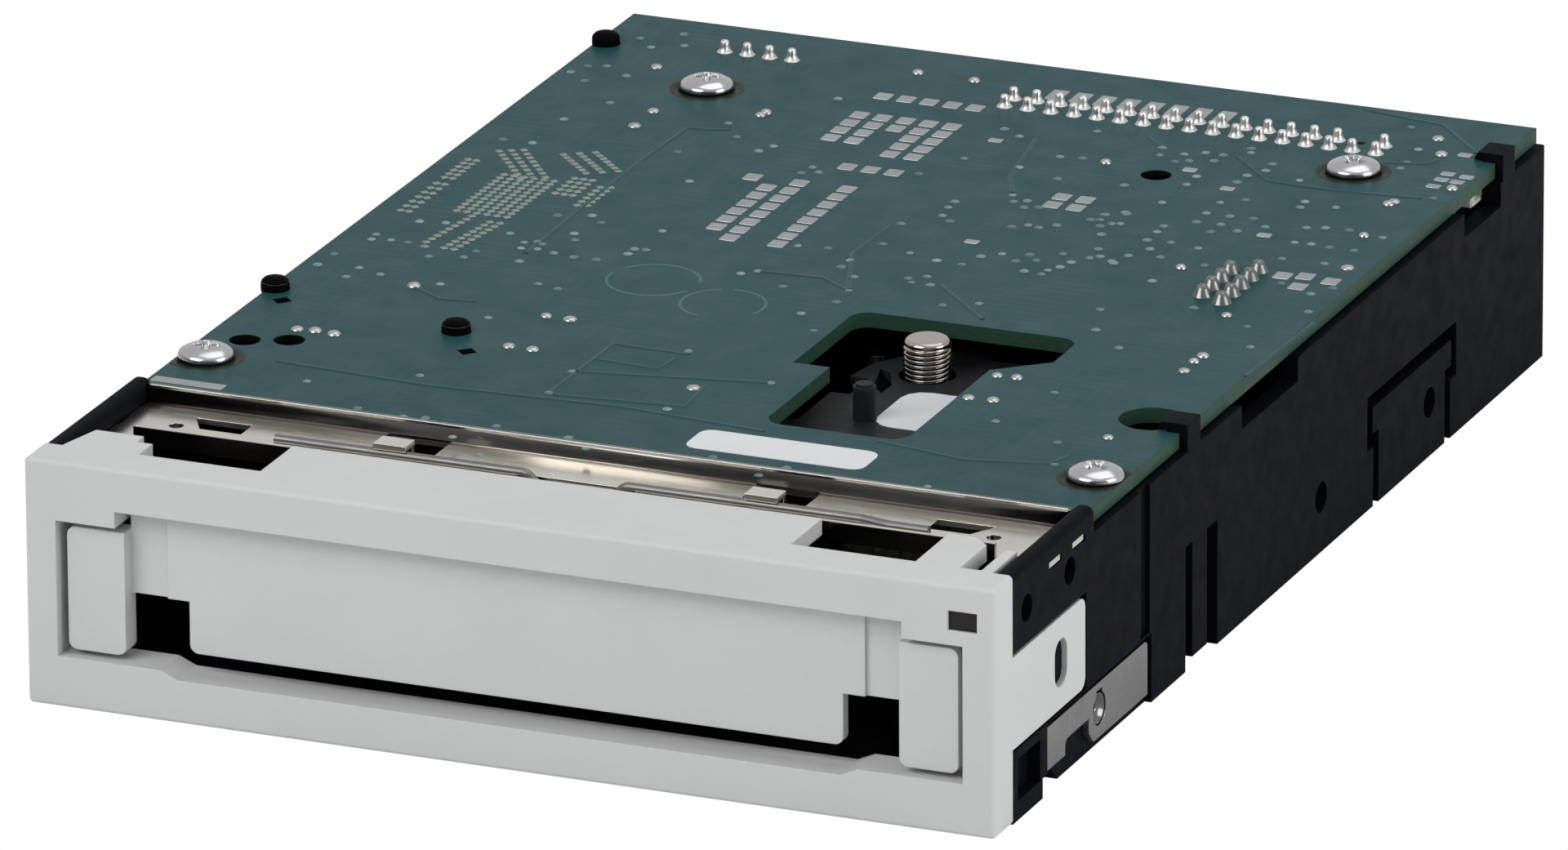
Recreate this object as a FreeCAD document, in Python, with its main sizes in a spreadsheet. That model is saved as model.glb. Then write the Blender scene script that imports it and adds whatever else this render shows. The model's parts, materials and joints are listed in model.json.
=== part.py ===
import FreeCAD, Part
import math
import os
import Sketcher

# Data tape drive for a 3.5 inch bay, one inch high. Millimetres.
# X runs to the right seen from the front, Y to the rear and Z up.
# The origin is at the middle of the underside.

SIZES = [
    ("overall_width", 101.6, "width of the bezel and over the side walls"),
    ("overall_depth", 150.0, "front face of the bezel to the rear edge of the walls"),
    ("bezel_height", 25.4, "height of the bezel"),
    ("running_gap", 0.05, "radial clearance of shafts that turn"),
    ("fit_gap", 0.1, "clearance of parts that drop into each other"),
    ("side_wall", 2.0, "thickness of the chassis side walls"),
    ("floor_thick", 2.0, "thickness of the chassis floor"),
    ("rear_wall", 1.8, "thickness of the chassis rear wall"),
    ("board_low", 23.0, "height of the underside of the board"),
    ("board_thick", 1.6, "thickness of the board"),
    ("wall_drop", 0.3, "how far the side walls end below the board"),
    ("tall_wall_end", 25.5, "depth at which the tall front part of a side wall ends"),
    ("wall_round", 0.8, "rounding of the top of the tall front part of a side wall"),
    ("bezel_thick", 4.6, "depth of the bezel frame"),
    ("lintel_thick", 1.5, "front skin above the door"),
    ("opening_half", 47.5, "half width of the bezel opening"),
    ("opening_low", 5.3, "lower edge of the opening at its ends"),
    ("opening_high", 19.3, "upper edge of the opening at its ends"),
    ("middle_half", 41.2, "half width of the higher middle of the opening"),
    ("middle_high", 21.0, "upper edge of the opening in the middle"),
    ("sill_half", 34.8, "half width of the lower sill"),
    ("sill_high", 4.5, "height of the lower sill"),
    ("sill_slope", 1.8, "width of the slope at each end of the sill"),
    ("flange_thick", 1.7, "thickness of the top flange"),
    ("flange_depth", 12.7, "depth of the top flange"),
    ("window_in", 27.8, "inner edge of the windows in the top flange"),
    ("window_out", 40.7, "outer edge of the windows in the top flange"),
    ("window_front", 4.9, "front edge of the windows in the top flange"),
    ("left_tongue_depth", 9.8, "rear end of the flange left of the left window"),
    ("right_tongue_depth", 13.3, "rear end of the tongue right of the right window"),
    ("tongue_half", 45.3, "outer edge of the right tongue"),
    ("strip_inner", 47.5, "inner edge of the right edge strip"),
    ("strip_depth", 11.0, "rear end of the edge strips"),
    ("bezel_round", 0.5, "rounding of the front edges of the bezel"),
    ("arm_end", 23.3, "rear end of the side arms"),
    ("arm_low", 7.6, "lower edge of the side arms"),
    ("arm_high", 17.0, "upper edge of the side arms"),
    ("arm_thick", 1.2, "thickness of the side arms"),
    ("arm_slot_at", 17.0, "depth of the slot in a side arm"),
    ("arm_slot_width", 3.2, "width of the slot in a side arm"),
    ("arm_slot_height", 4.8, "height of the slot in a side arm"),
    ("led_side", 1.8, "distance of the activity window from the right side face"),
    ("led_width", 3.0, "width of the activity window"),
    ("led_low", 20.8, "lower edge of the activity window"),
    ("led_height", 2.0, "height of the activity window"),
    ("led_recess", 0.3, "how far the dark lens lies behind the front face"),
    ("led_depth", 3.0, "depth of the dark lens"),
    ("hinge_at", 2.9, "depth of the hinge axis of the door"),
    ("hinge_high", 21.5, "height of the hinge axis of the door"),
    ("pin_radius", 0.6, "radius of the hinge rod"),
    ("pin_half", 36.0, "half length of the hinge rod"),
    ("ear_radius", 1.15, "radius of the hinge ears of the door"),
    ("ear_in", 26.0, "inner face of a hinge ear"),
    ("ear_width", 3.0, "width of a hinge ear"),
    ("lug_gap", 0.4, "side play between a hinge ear and its lug"),
    ("lug_width", 2.5, "width of a lug that holds the hinge rod"),
    ("panel_front", 2.1, "depth of the front of the door panel"),
    ("panel_rear", 3.4, "depth of the rear of the door"),
    ("panel_half", 36.6, "half width of the door panel"),
    ("panel_low", 6.7, "lower edge of the door panel"),
    ("panel_high", 20.7, "upper edge of the door"),
    ("notch_half", 34.3, "inner side of the roller notches in the door"),
    ("notch_high", 12.0, "top of the roller notches in the door"),
    ("web_front", 2.5, "depth of the front of the set-back webs"),
    ("pad_front", 0.9, "depth of the front of the end pads"),
    ("pad_in", 40.6, "inner edge of the end pads"),
    ("pad_out", 46.7, "outer edge of the end pads"),
    ("pad_low", 5.9, "lower edge of the end pads"),
    ("pad_high", 18.6, "upper edge of the end pads"),
    ("pad_round", 0.9, "corner rounding of the end pads"),
    ("coil_turns", 5, "turns of the door spring"),
    ("coil_wire", 0.3, "wire diameter of the door spring"),
    ("lug_rear", 3.9, "depth of the rear of the lugs that hold the hinge rod"),
    ("lug_notch", 1.25, "how far the door clears the hinge axis beside the lugs"),
    ("sheet_thick", 0.6, "sheet thickness of the front bracket"),
    ("web_high", 23.4, "top of the web of the front bracket"),
    ("web_front_at", 13.6, "front of the front bracket"),
    ("web_rear_at", 25.2, "rear of the front bracket"),
    ("lip_high", 24.8, "top of the front lip of the bracket"),
    ("upstand_high", 25.1, "top of the rear upstand of the bracket"),
    ("bracket_gap", 0.3, "side gap between the bracket and the walls"),
    ("tab_one_at", 15.6, "depth of the first side tab of the bracket"),
    ("tab_two_at", 21.6, "depth of the second side tab of the bracket"),
    ("tab_width", 3.0, "width of the side tabs of the bracket"),
    ("stud_slot_in", 36.2, "inner edge of the slots over the latch studs"),
    ("stud_slot_out", 42.2, "outer edge of the slots over the latch studs"),
    ("stud_slot_front", 18.9, "front edge of the slots over the latch studs"),
    ("stud_slot_rear", 21.7, "rear edge of the slots over the latch studs"),
    ("stud_slot_taper", 1.6, "narrowing of these slots towards the front"),
    ("hook_slot_in", 16.2, "inner edge of the slots beside the wire hooks"),
    ("hook_slot_out", 22.9, "outer edge of the slots beside the wire hooks"),
    ("hook_slot_front", 19.4, "front edge of the slots beside the wire hooks"),
    ("hook_slot_rear", 24.2, "rear edge of the slots beside the wire hooks"),
    ("hook_width", 3.4, "width of a wire hook"),
    ("wire_hole_half", 6.2, "half width of the middle hole of the bracket"),
    ("wire_at", 17.6, "depth of the straight runs of the wire spring"),
    ("wire_thick", 1.0, "diameter of the wire spring"),
    ("wire_dip", 1.7, "how far the wire spring dips in the middle"),
    ("clip_thick", 0.7, "sheet thickness of a side clip"),
    ("clip_front", 13.5, "front edge of a side clip"),
    ("clip_rear", 39.6, "rear edge of a side clip"),
    ("clip_high", 6.8, "upper edge of a side clip"),
    ("clip_leg_low", 2.4, "lower edge of the front leg of a side clip"),
    ("clip_leg_end", 18.1, "rear edge of the front leg of a side clip"),
    ("clip_arch_high", 4.0, "top of the arch in a side clip"),
    ("clip_arch_end", 24.3, "rear end of the arch in a side clip"),
    ("clip_low", 1.2, "lower edge of the rear of a side clip"),
    ("clip_screw_at", 27.0, "depth of the screw of a side clip"),
    ("clip_screw_high", 4.1, "height of the screw of a side clip"),
    ("clip_hole", 1.7, "radius of the round end of the keyhole"),
    ("clip_slit", 0.8, "half width of the narrow end of the keyhole"),
    ("clip_slit_high", 6.1, "top of the keyhole"),
    ("clip_recess_end", 40.6, "rear end of the recess for a side clip"),
    ("clip_recess_high", 7.4, "top of the recess for a side clip"),
    ("foot_end", 12.3, "rear end of the foot block"),
    ("foot_notch_end", 17.7, "rear end of the notch behind the foot block"),
    ("foot_notch_high", 2.1, "height of the notch behind the foot block"),
    ("foot_pocket", 1.3, "depth of the pocket in the foot block"),
    ("foot_margin", 1.3, "rim around the pocket in the foot block"),
    ("finger_from", 51.5, "front edge of the snap finger"),
    ("finger_to", 55.4, "rear edge of the snap finger"),
    ("slit_one", 1.8, "width of the slit in front of the snap finger"),
    ("slit_two", 2.8, "width of the slit behind the snap finger"),
    ("slit_high", 13.0, "top of the slits beside the snap finger"),
    ("finger_low", 1.0, "lower edge of the snap finger"),
    ("groove_at", 37.8, "depth of the groove in the side walls"),
    ("groove_wide", 2.4, "width of the groove in the side walls"),
    ("groove_deep", 0.5, "depth of cut of the groove"),
    ("notch_one_at", 64.7, "front edge of the middle top notch of a side wall"),
    ("notch_one_wide", 15.3, "width of the middle top notch of a side wall"),
    ("notch_two_back", 23.5, "distance of the front edge of the rear top notch from the rear"),
    ("notch_two_wide", 10.5, "width of the rear top notch of a side wall"),
    ("notch_low", 20.2, "lower edge of the top notches"),
    ("tongue_from", 99.3, "front edge of the slot round the side tongue"),
    ("tongue_to", 124.4, "rear edge of the slot round the side tongue"),
    ("tongue_high", 12.0, "top of the slot round the side tongue"),
    ("tongue_step", 1.7, "step in the sides of the side tongue"),
    ("tongue_step_high", 7.0, "height of the step in the side tongue"),
    ("tongue_slot", 1.5, "width of the slot round the side tongue"),
    ("side_hole_one", 86.5, "depth of the front side mounting hole"),
    ("side_hole_two", 116.8, "depth of the rear side mounting hole"),
    ("side_hole_high", 5.8, "height of the side mounting holes"),
    ("side_hole_radius", 1.6, "radius of the side mounting holes"),
    ("round_hole_high", 20.9, "height of the two round holes near the bezel"),
    ("round_hole_one", 8.2, "depth of the first of them"),
    ("round_hole_two", 19.3, "depth of the second of them"),
    ("round_hole_radius", 1.4, "radius of both"),
    ("hook_one_at", 50.2, "depth of the front board hook"),
    ("hook_two_back", 12.4, "distance of the front edge of the rear board hook from the rear"),
    ("hook_wide", 3.4, "width of a board hook"),
    ("hook_reach", 3.2, "how far a board hook reaches in from the side face"),
    ("hook_thick", 0.9, "thickness of the nose of a board hook"),
    ("bay_half", 41.3, "half width of the cartridge bay"),
    ("bay_end", 61.0, "depth at which the cartridge stops"),
    ("bay_floor", 4.5, "height on which the cartridge runs"),
    ("bay_guide", 1.2, "thickness of the guide walls of the bay"),
    ("guide_from", 28.8, "front end of the guide walls"),
    ("guide_high", 19.3, "height of the guide walls, on which the bay cover lies"),
    ("cover_thick", 1.0, "thickness of the bay cover"),
    ("cover_front", 40.0, "front edge of the bay cover"),
    ("cover_rear", 51.0, "rear edge of the part of it that spans the bay"),
    ("cover_left", 9.2, "left edge of the part of it round the lift screw"),
    ("cover_right", 30.0, "right edge of that part"),
    ("cover_step", 59.8, "front edge of the notch in its left edge"),
    ("cover_notch", 11.2, "inner end of that notch"),
    ("cover_notch_end", 64.8, "rear edge of that notch"),
    ("cover_wing", 6.3, "how far the bay cover reaches beside and behind the lift screw"),
    ("cover_back", 9.9, "how far its middle reaches behind the lift screw"),
    ("cover_gap", 0.4, "clearance of the bay cover round the lift screw"),
    ("cover_arm", 1.3, "width of the slanted ends of the hole in the bay cover"),
    ("cover_hole_left", 11.2, "left end of the hole in the bay cover"),
    ("cover_hole_right", 14.0, "right edge of that hole"),
    ("cover_hole_front", 61.3, "front end of that hole"),
    ("cover_hole_rear", 67.9, "rear end of that hole"),
    ("cover_peg_x", 15.4, "place of the peg on the bay cover across"),
    ("cover_peg_at", 53.5, "depth of the peg on the bay cover"),
    ("cover_peg", 1.15, "radius of the peg on the bay cover"),
    ("cover_peg_high", 24.1, "top of the peg on the bay cover"),
    ("rail_wide", 7.0, "width of the rails under the cartridge"),
    ("rail_from", 14.0, "front end of the rails under the cartridge"),
    ("stop_deep", 2.0, "depth of the cartridge stops"),
    ("stop_high", 14.0, "height of the cartridge stops"),
    ("rib_wide", 1.2, "thickness of the ribs of the floor"),
    ("rib_high", 5.0, "height of the ribs of the floor"),
    ("post_radius", 2.6, "radius of the posts under the board"),
    ("front_screw_in", 3.6, "distance of the front board screws from the side faces"),
    ("front_screw_at", 35.1, "depth of the front board screws"),
    ("rear_screw_left", -33.5, "place of the rear left board screw across"),
    ("rear_screw_right", 37.6, "place of the rear right board screw across"),
    ("rear_screw_back", 20.3, "distance of the rear board screws from the rear"),
    ("screw_core", 1.1, "radius of the shank of the board screws"),
    ("screw_length", 7.0, "length of the shank of the board screws"),
    ("screw_head", 2.8, "radius of the head of the board screws"),
    ("screw_head_high", 1.9, "height of the head of the board screws"),
    ("screw_cross", 0.7, "width of the cross in the screw heads"),
    ("screw_cross_deep", 0.8, "depth of the cross in the screw heads"),
    ("board_side_gap", 0.8, "distance of the board edge from the side faces"),
    ("board_front_at", 25.8, "depth of the front edge of the board"),
    ("board_rear_gap", 0.6, "distance of the board edge from the rear"),
    ("board_hole", 1.5, "radius of the holes for the board screws"),
    ("peg_radius", 1.4, "radius of the pegs through the board"),
    ("peg_high", 0.8, "height of the pegs above the board"),
    ("rear_peg_in", 1.9, "distance of the rear peg from the left side face"),
    ("rear_peg_back", 10.6, "distance of the rear peg from the rear"),
    ("cut_at", 52.9, "depth of the round cut-out in the right board edge"),
    ("cut_in", 4.8, "distance of its centre from the right side face"),
    ("cut_radius", 3.3, "radius of this cut-out"),
    ("small_hole", 1.6, "radius of the plain round holes of the board"),
    ("view_left", 7.1, "left edge of the wide part of the board window"),
    ("view_right", 30.9, "right edge of the wide part of the board window"),
    ("view_rear", 71.8, "rear edge of the board window"),
    ("view_step", 55.2, "depth of the step in the left edge of the window"),
    ("view_shoulder", 64.7, "depth of the shoulder in the right edge"),
    ("view_neck_left", 11.0, "left edge of the narrow part of the window"),
    ("view_neck_right", 25.9, "right edge of the narrow part of the window"),
    ("view_front", 38.0, "front edge of the board window"),
    ("view_slope", 4.4, "length of the slope between the two parts"),
    ("view_round", 2.0, "corner rounding of the board window"),
    ("pitch", 2.54, "pitch of the connector pins"),
    ("pin_half_width", 0.32, "half width of a square connector pin"),
    ("pin_above", 1.1, "how far the pins stand above the board"),
    ("data_columns", 17, "columns of the interface connector"),
    ("data_left", -3.0, "place of the first interface pin across"),
    ("data_back", 14.2, "distance of the front row of pins from the rear"),
    ("key_pin", 16, "the place in the rear row that has no pin"),
    ("shroud_wide", 50.6, "width of the shroud of the interface connector"),
    ("shroud_deep", 9.4, "depth of the shroud of the interface connector"),
    ("shroud_high", 8.8, "height of the shroud of the interface connector"),
    ("shroud_wall", 1.1, "wall of the shroud"),
    ("key_wide", 4.4, "width of the key slot of the shroud"),
    ("power_left", -36.4, "place of the first power pin across"),
    ("power_pitch", 2.5, "pitch of the power pins"),
    ("power_back", 8.6, "distance of the power pins from the rear"),
    ("power_pins", 4, "number of power pins"),
    ("power_wide", 12.0, "width of the power connector"),
    ("power_high", 7.0, "height of the power connector"),
    ("power_wall", 1.0, "wall of the power connector"),
    ("signal_left", 37.2, "place of the left row of the signal header across"),
    ("signal_at", 87.5, "depth of the first signal pin"),
    ("signal_rows", 5, "pins in the longer row of the signal header"),
    ("signal_high", 6.0, "height of the signal header"),
    ("socket_left", 41.2, "left face of the white flat cable socket"),
    ("socket_wide", 7.2, "width of the white flat cable socket"),
    ("socket_at", 126.6, "depth of the front of the white socket"),
    ("socket_deep", 3.6, "depth of the white socket"),
    ("socket_high", 3.2, "height of the white socket"),
    ("chip_thick", 1.6, "thickness of the integrated circuits"),
    ("controller_x", -38.0, "place of the controller chip across"),
    ("controller_at", 92.0, "depth of the controller chip"),
    ("controller_wide", 20.0, "width and length of the controller chip"),
    ("memory_x", -12.0, "place of the memory chip across"),
    ("memory_at", 100.0, "depth of the memory chip"),
    ("memory_wide", 10.0, "width of the memory chip"),
    ("memory_long", 18.0, "length of the memory chip"),
    ("reader_x", 10.0, "place of the read channel chip across"),
    ("reader_at", 96.0, "depth of the read channel chip"),
    ("reader_wide", 14.0, "width and length of the read channel chip"),
    ("driver_x", 30.0, "place of the motor driver chip across"),
    ("driver_at", 112.0, "depth of the motor driver chip"),
    ("driver_wide", 12.0, "width of the motor driver chip"),
    ("driver_long", 10.0, "length of the motor driver chip"),
    ("hole_one_x", -45.8, "place of the first plain hole of the board across"),
    ("hole_one_at", 41.3, "depth of the first plain hole of the board"),
    ("hole_two_x", -41.7, "place of the second plain hole of the board across"),
    ("hole_two_at", 42.9, "depth of the second plain hole of the board"),
    ("hole_three_x", 19.4, "place of the third plain hole of the board across"),
    ("hole_three_at", 121.3, "depth of the third plain hole of the board"),
    ("latch_pivot_x", 45.2, "place of the latch pivots across"),
    ("latch_pivot_at", 29.6, "depth of the latch pivots"),
    ("latch_pin", 0.9, "radius of the latch pivots"),
    ("latch_hub", 2.1, "radius of the hub of a latch arm"),
    ("roller_x", 40.2, "place of the latch rollers across"),
    ("roller_at", 20.4, "depth of the latch rollers"),
    ("roller_radius", 2.4, "radius of the latch rollers"),
    ("roller_low", 7.0, "lower face of the latch rollers"),
    ("roller_high", 13.8, "upper face of the latch rollers"),
    ("roller_play", 0.3, "end play of the latch rollers"),
    ("stud_radius", 0.9, "radius of the studs that carry the rollers"),
    ("stud_high", 18.4, "top of the studs that carry the rollers"),
    ("arm_plate", 1.6, "thickness of the latch arms"),
    ("capstan_x", -6.0, "place of the capstan across"),
    ("capstan_at", 67.0, "depth of the capstan"),
    ("capstan_radius", 6.0, "radius of the tyre"),
    ("tyre_thick", 1.4, "thickness of the tyre"),
    ("capstan_low", 7.6, "lower face of the capstan hub"),
    ("capstan_high", 15.6, "upper face of the capstan hub"),
    ("tyre_margin", 0.5, "how far the hub stands proud of the tyre"),
    ("shaft_radius", 1.25, "radius of the capstan shaft"),
    ("shaft_low", 0.5, "lower end of the capstan shaft"),
    ("shaft_high", 16.8, "upper end of the capstan shaft"),
    ("rotor_radius", 12.5, "radius of the rotor"),
    ("rotor_low", 2.3, "lower edge of the rotor rim"),
    ("rotor_disc_low", 3.9, "underside of the rotor disc"),
    ("rotor_skin", 0.6, "sheet thickness of the rotor"),
    ("rotor_hub", 3.2, "radius of the hub of the rotor"),
    ("rotor_hub_high", 6.0, "top of the hub of the rotor"),
    ("magnet_in", 5.2, "inner radius of the rotor magnet"),
    ("magnet_thick", 1.2, "thickness of the rotor magnet"),
    ("bush_radius", 2.7, "radius of the capstan bush"),
    ("bush_high", 3.5, "top of the capstan bush"),
    ("plate_low", 0.3, "underside of the motor plate"),
    ("plate_thick", 0.8, "thickness of the motor plate"),
    ("plate_half", 16.0, "half width of the motor plate"),
    ("plate_round", 3.0, "corner rounding of the motor plate"),
    ("coil_count", 6, "coils of the motor"),
    ("coil_ring", 8.6, "radius of the circle of coils"),
    ("coil_out", 3.1, "outer radius of a coil"),
    ("coil_in", 1.3, "inner radius of a coil"),
    ("coil_high", 1.0, "thickness of a coil"),
    ("motor_screw_in", 2.2, "distance of the motor screws from the plate edge"),
    ("motor_screw", 0.9, "radius of the shank of the small screws"),
    ("motor_screw_head", 1.8, "radius of the head of the small screws"),
    ("motor_screw_high", 1.1, "height of the head of the small screws"),
    ("lift_x", 16.2, "place of the lift screw across"),
    ("lift_at", 67.9, "depth of the lift screw"),
    ("lift_radius", 2.45, "radius of the lift screw over its thread"),
    ("lift_top", 24.2, "top of the lift screw"),
    ("lift_chamfer", 0.6, "chamfer at the top of the lift screw"),
    ("lift_core", 1.9, "radius of the gear seat of the lift screw"),
    ("journal_radius", 1.5, "radius of the lower journal of the lift screw"),
    ("journal_low", 0.5, "lower end of the lift screw"),
    ("screw_bush", 2.6, "radius of the bearing of the lift screw"),
    ("gear_low", 2.7, "lower face of the gears"),
    ("gear_thick", 1.7, "thickness of the gears"),
    ("module_size", 0.5, "module of the gears"),
    ("gear_teeth", 32, "teeth of the gear on the lift screw"),
    ("pinion_teeth", 14, "teeth of the pinion on the stepper shaft"),
    ("centre_gap", 0.12, "extra distance between the two gear axes"),
    ("stepper_angle", 40, "direction from the lift screw to the stepper"),
    ("stepper_radius", 7.0, "radius of the stepper motor"),
    ("stepper_low", 5.4, "underside of the stepper can"),
    ("stepper_high", 16.6, "top of the stepper can"),
    ("stepper_flange", 0.6, "thickness of the stepper flange"),
    ("stepper_ear", 10.2, "distance of the stepper screws from its axis"),
    ("stepper_shaft", 1.0, "radius of the stepper shaft"),
    ("ear_round", 2.1, "radius of the ears of the stepper flange"),
    ("rod_x", 7.6, "place of the guide rod across"),
    ("rod_at", 75.6, "depth of the guide rod"),
    ("rod_radius", 1.15, "radius of the guide rod"),
    ("rod_top", 19.0, "top of the guide rod"),
    ("rod_boss", 2.2, "radius of the boss under the guide rod"),
    ("carriage_low", 10.0, "underside of the head carriage"),
    ("carriage_high", 13.2, "top of the head carriage"),
    ("sleeve_radius", 2.3, "radius of the carriage sleeve on the guide rod"),
    ("nut_radius", 3.7, "radius of the nut on the lift screw"),
    ("collar_wall", 0.5, "wall of the carriage round the nut"),
    ("nut_low", 8.6, "underside of the nut"),
    ("nut_high", 15.0, "top of the nut"),
    ("head_x", 14.5, "place of the tape head across"),
    ("head_front", 61.4, "depth of the front of the tape head"),
    ("head_deep", 2.2, "depth of the tape head"),
    ("head_half", 4.4, "half width of the tape head"),
    ("head_low", 8.2, "underside of the tape head"),
    ("head_high", 15.7, "top of the tape head"),
    ("head_round", 1.5, "rounding of the tape head"),
    ("bridge_half", 4.6, "half width of the carriage behind the head"),
    ("sensor_x", -29.5, "place of the hole sensor across"),
    ("sensor_half", 3.4, "half width of the hole sensor"),
    ("sensor_front", 62.0, "depth of the front of the hole sensor"),
    ("sensor_deep", 4.6, "depth of the hole sensor"),
    ("sensor_high", 16.5, "top of the hole sensor"),
    ("sensor_slot_low", 8.5, "lower edge of the gap of the hole sensor"),
    ("sensor_slot_high", 12.0, "upper edge of the gap of the hole sensor"),
    ("sensor_slot_deep", 2.4, "depth of the gap of the hole sensor"),
    ("in_switch_x", -27.4, "place of the peg of the cartridge switch across"),
    ("in_switch_at", 51.4, "depth of the peg of the cartridge switch"),
    ("switch_half", 2.6, "half width of a switch"),
    ("switch_front", 7.4, "length of a switch in front of its peg"),
    ("switch_rear", 3.0, "length of a switch behind its peg"),
    ("in_switch_thick", 1.9, "thickness of the cartridge switch"),
    ("feeler_radius", 0.8, "radius of the feelers of the switches"),
    ("feeler_back", 3.6, "distance of a feeler in front of its peg"),
    ("feeler_proud", 1.2, "how far a feeler stands out of its switch"),
    ("feeler_travel", 0.9, "travel of a feeler"),
    ("out_switch_in", 1.5, "distance of the peg of the write switch from the side"),
    ("out_switch_at", 56.5, "depth of the peg of the write switch"),
    ("out_switch_wide", 3.4, "width of the write switch"),
    ("out_switch_low", 14.6, "underside of the write switch"),
    ("out_feeler_high", 16.8, "height of the feeler of the write switch"),
    ("diamond", 1.1, "half diagonal of the diamond holes of the board"),
]


class Size:
    """A length or count that knows its value and its spreadsheet formula."""

    def __init__(self, value, text):
        self.value = float(value)
        self.text = text

    def __add__(self, other):
        other = as_size(other)
        return Size(self.value + other.value, "(%s + %s)" % (self.text, other.text))

    def __sub__(self, other):
        other = as_size(other)
        return Size(self.value - other.value, "(%s - %s)" % (self.text, other.text))

    def __mul__(self, other):
        other = as_size(other)
        return Size(self.value * other.value, "(%s * %s)" % (self.text, other.text))

    def __truediv__(self, other):
        other = as_size(other)
        return Size(self.value / other.value, "(%s / %s)" % (self.text, other.text))

    def __neg__(self):
        return Size(-self.value, "(0 - %s)" % self.text)

    def __radd__(self, other):
        return as_size(other) + self

    def __rsub__(self, other):
        return as_size(other) - self

    def __rmul__(self, other):
        return as_size(other) * self


def as_size(thing):
    if isinstance(thing, Size):
        return thing
    return Size(thing, "%.6f" % thing)


class Names:
    """The sizes of the sheet by name."""


doc = FreeCAD.newDocument("tape_drive")
sheet = doc.addObject("Spreadsheet::Sheet", "Sizes")
s = Names()
for row, (alias, value, note) in enumerate(SIZES, start=1):
    sheet.set("A%d" % row, note)
    sheet.set("B%d" % row, str(value))
    sheet.setAlias("B%d" % row, alias)
    setattr(s, alias, Size(value, "Sizes.%s" % alias))
doc.recompute()

ZERO = as_size(0)
half_width = s.overall_width / 2
front_face = -(s.overall_depth / 2)
rear_face = s.overall_depth / 2
NODES = []


def at(depth):
    """The Y place of a depth behind the front face of the bezel."""
    return front_face + depth


def before_rear(distance):
    """The Y place of a distance in front of the rear face."""
    return rear_face - distance


def rectangle(left, right, low, high):
    return [(left, low), (right, low), (right, high), (left, high)]


class Disc:
    """A circle of a sketch."""

    def __init__(self, across, along, radius):
        self.across = as_size(across)
        self.along = as_size(along)
        self.radius = as_size(radius)


def flipped(loop):
    """The mirror image of an outline in the first direction of its sketch."""
    if isinstance(loop, Disc):
        return Disc(-loop.across, loop.along, loop.radius)
    return [(-as_size(across), along) for across, along in reversed(loop)]


def both(*loops):
    """The outlines together with their mirror images."""
    return list(loops) + [flipped(loop) for loop in loops]


def draw_outline(sketch, loop):
    """A closed polygon whose corners are bound to the sheet."""
    corners = [(as_size(across), as_size(along)) for across, along in loop]
    count = len(corners)
    lines = []
    for index in range(count):
        start = corners[index]
        end = corners[(index + 1) % count]
        first = FreeCAD.Vector(start[0].value, start[1].value, 0)
        last = FreeCAD.Vector(end[0].value, end[1].value, 0)
        lines.append(Part.LineSegment(first, last))
    ids = sketch.addGeometry(lines, False)
    for index in range(count):
        following = ids[(index + 1) % count]
        sketch.addConstraint(Sketcher.Constraint("Coincident", ids[index], 2, following, 1))
    for index in range(count):
        for kind, size in zip(("DistanceX", "DistanceY"), corners[index]):
            rule = Sketcher.Constraint(kind, -1, 1, ids[index], 1, size.value)
            number = sketch.addConstraint(rule)
            sketch.setExpression("Constraints[%d]" % number, size.text)


def draw_disc(sketch, disc):
    """A circle whose centre and radius are bound to the sheet."""
    centre = FreeCAD.Vector(disc.across.value, disc.along.value, 0)
    circle = Part.Circle(centre, FreeCAD.Vector(0, 0, 1), disc.radius.value)
    ring = sketch.addGeometry(circle, False)
    for kind, size in (("DistanceX", disc.across), ("DistanceY", disc.along)):
        number = sketch.addConstraint(Sketcher.Constraint(kind, -1, 1, ring, 3, size.value))
        sketch.setExpression("Constraints[%d]" % number, size.text)
    number = sketch.addConstraint(Sketcher.Constraint("Radius", ring, disc.radius.value))
    sketch.setExpression("Constraints[%d]" % number, disc.radius.text)


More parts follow.
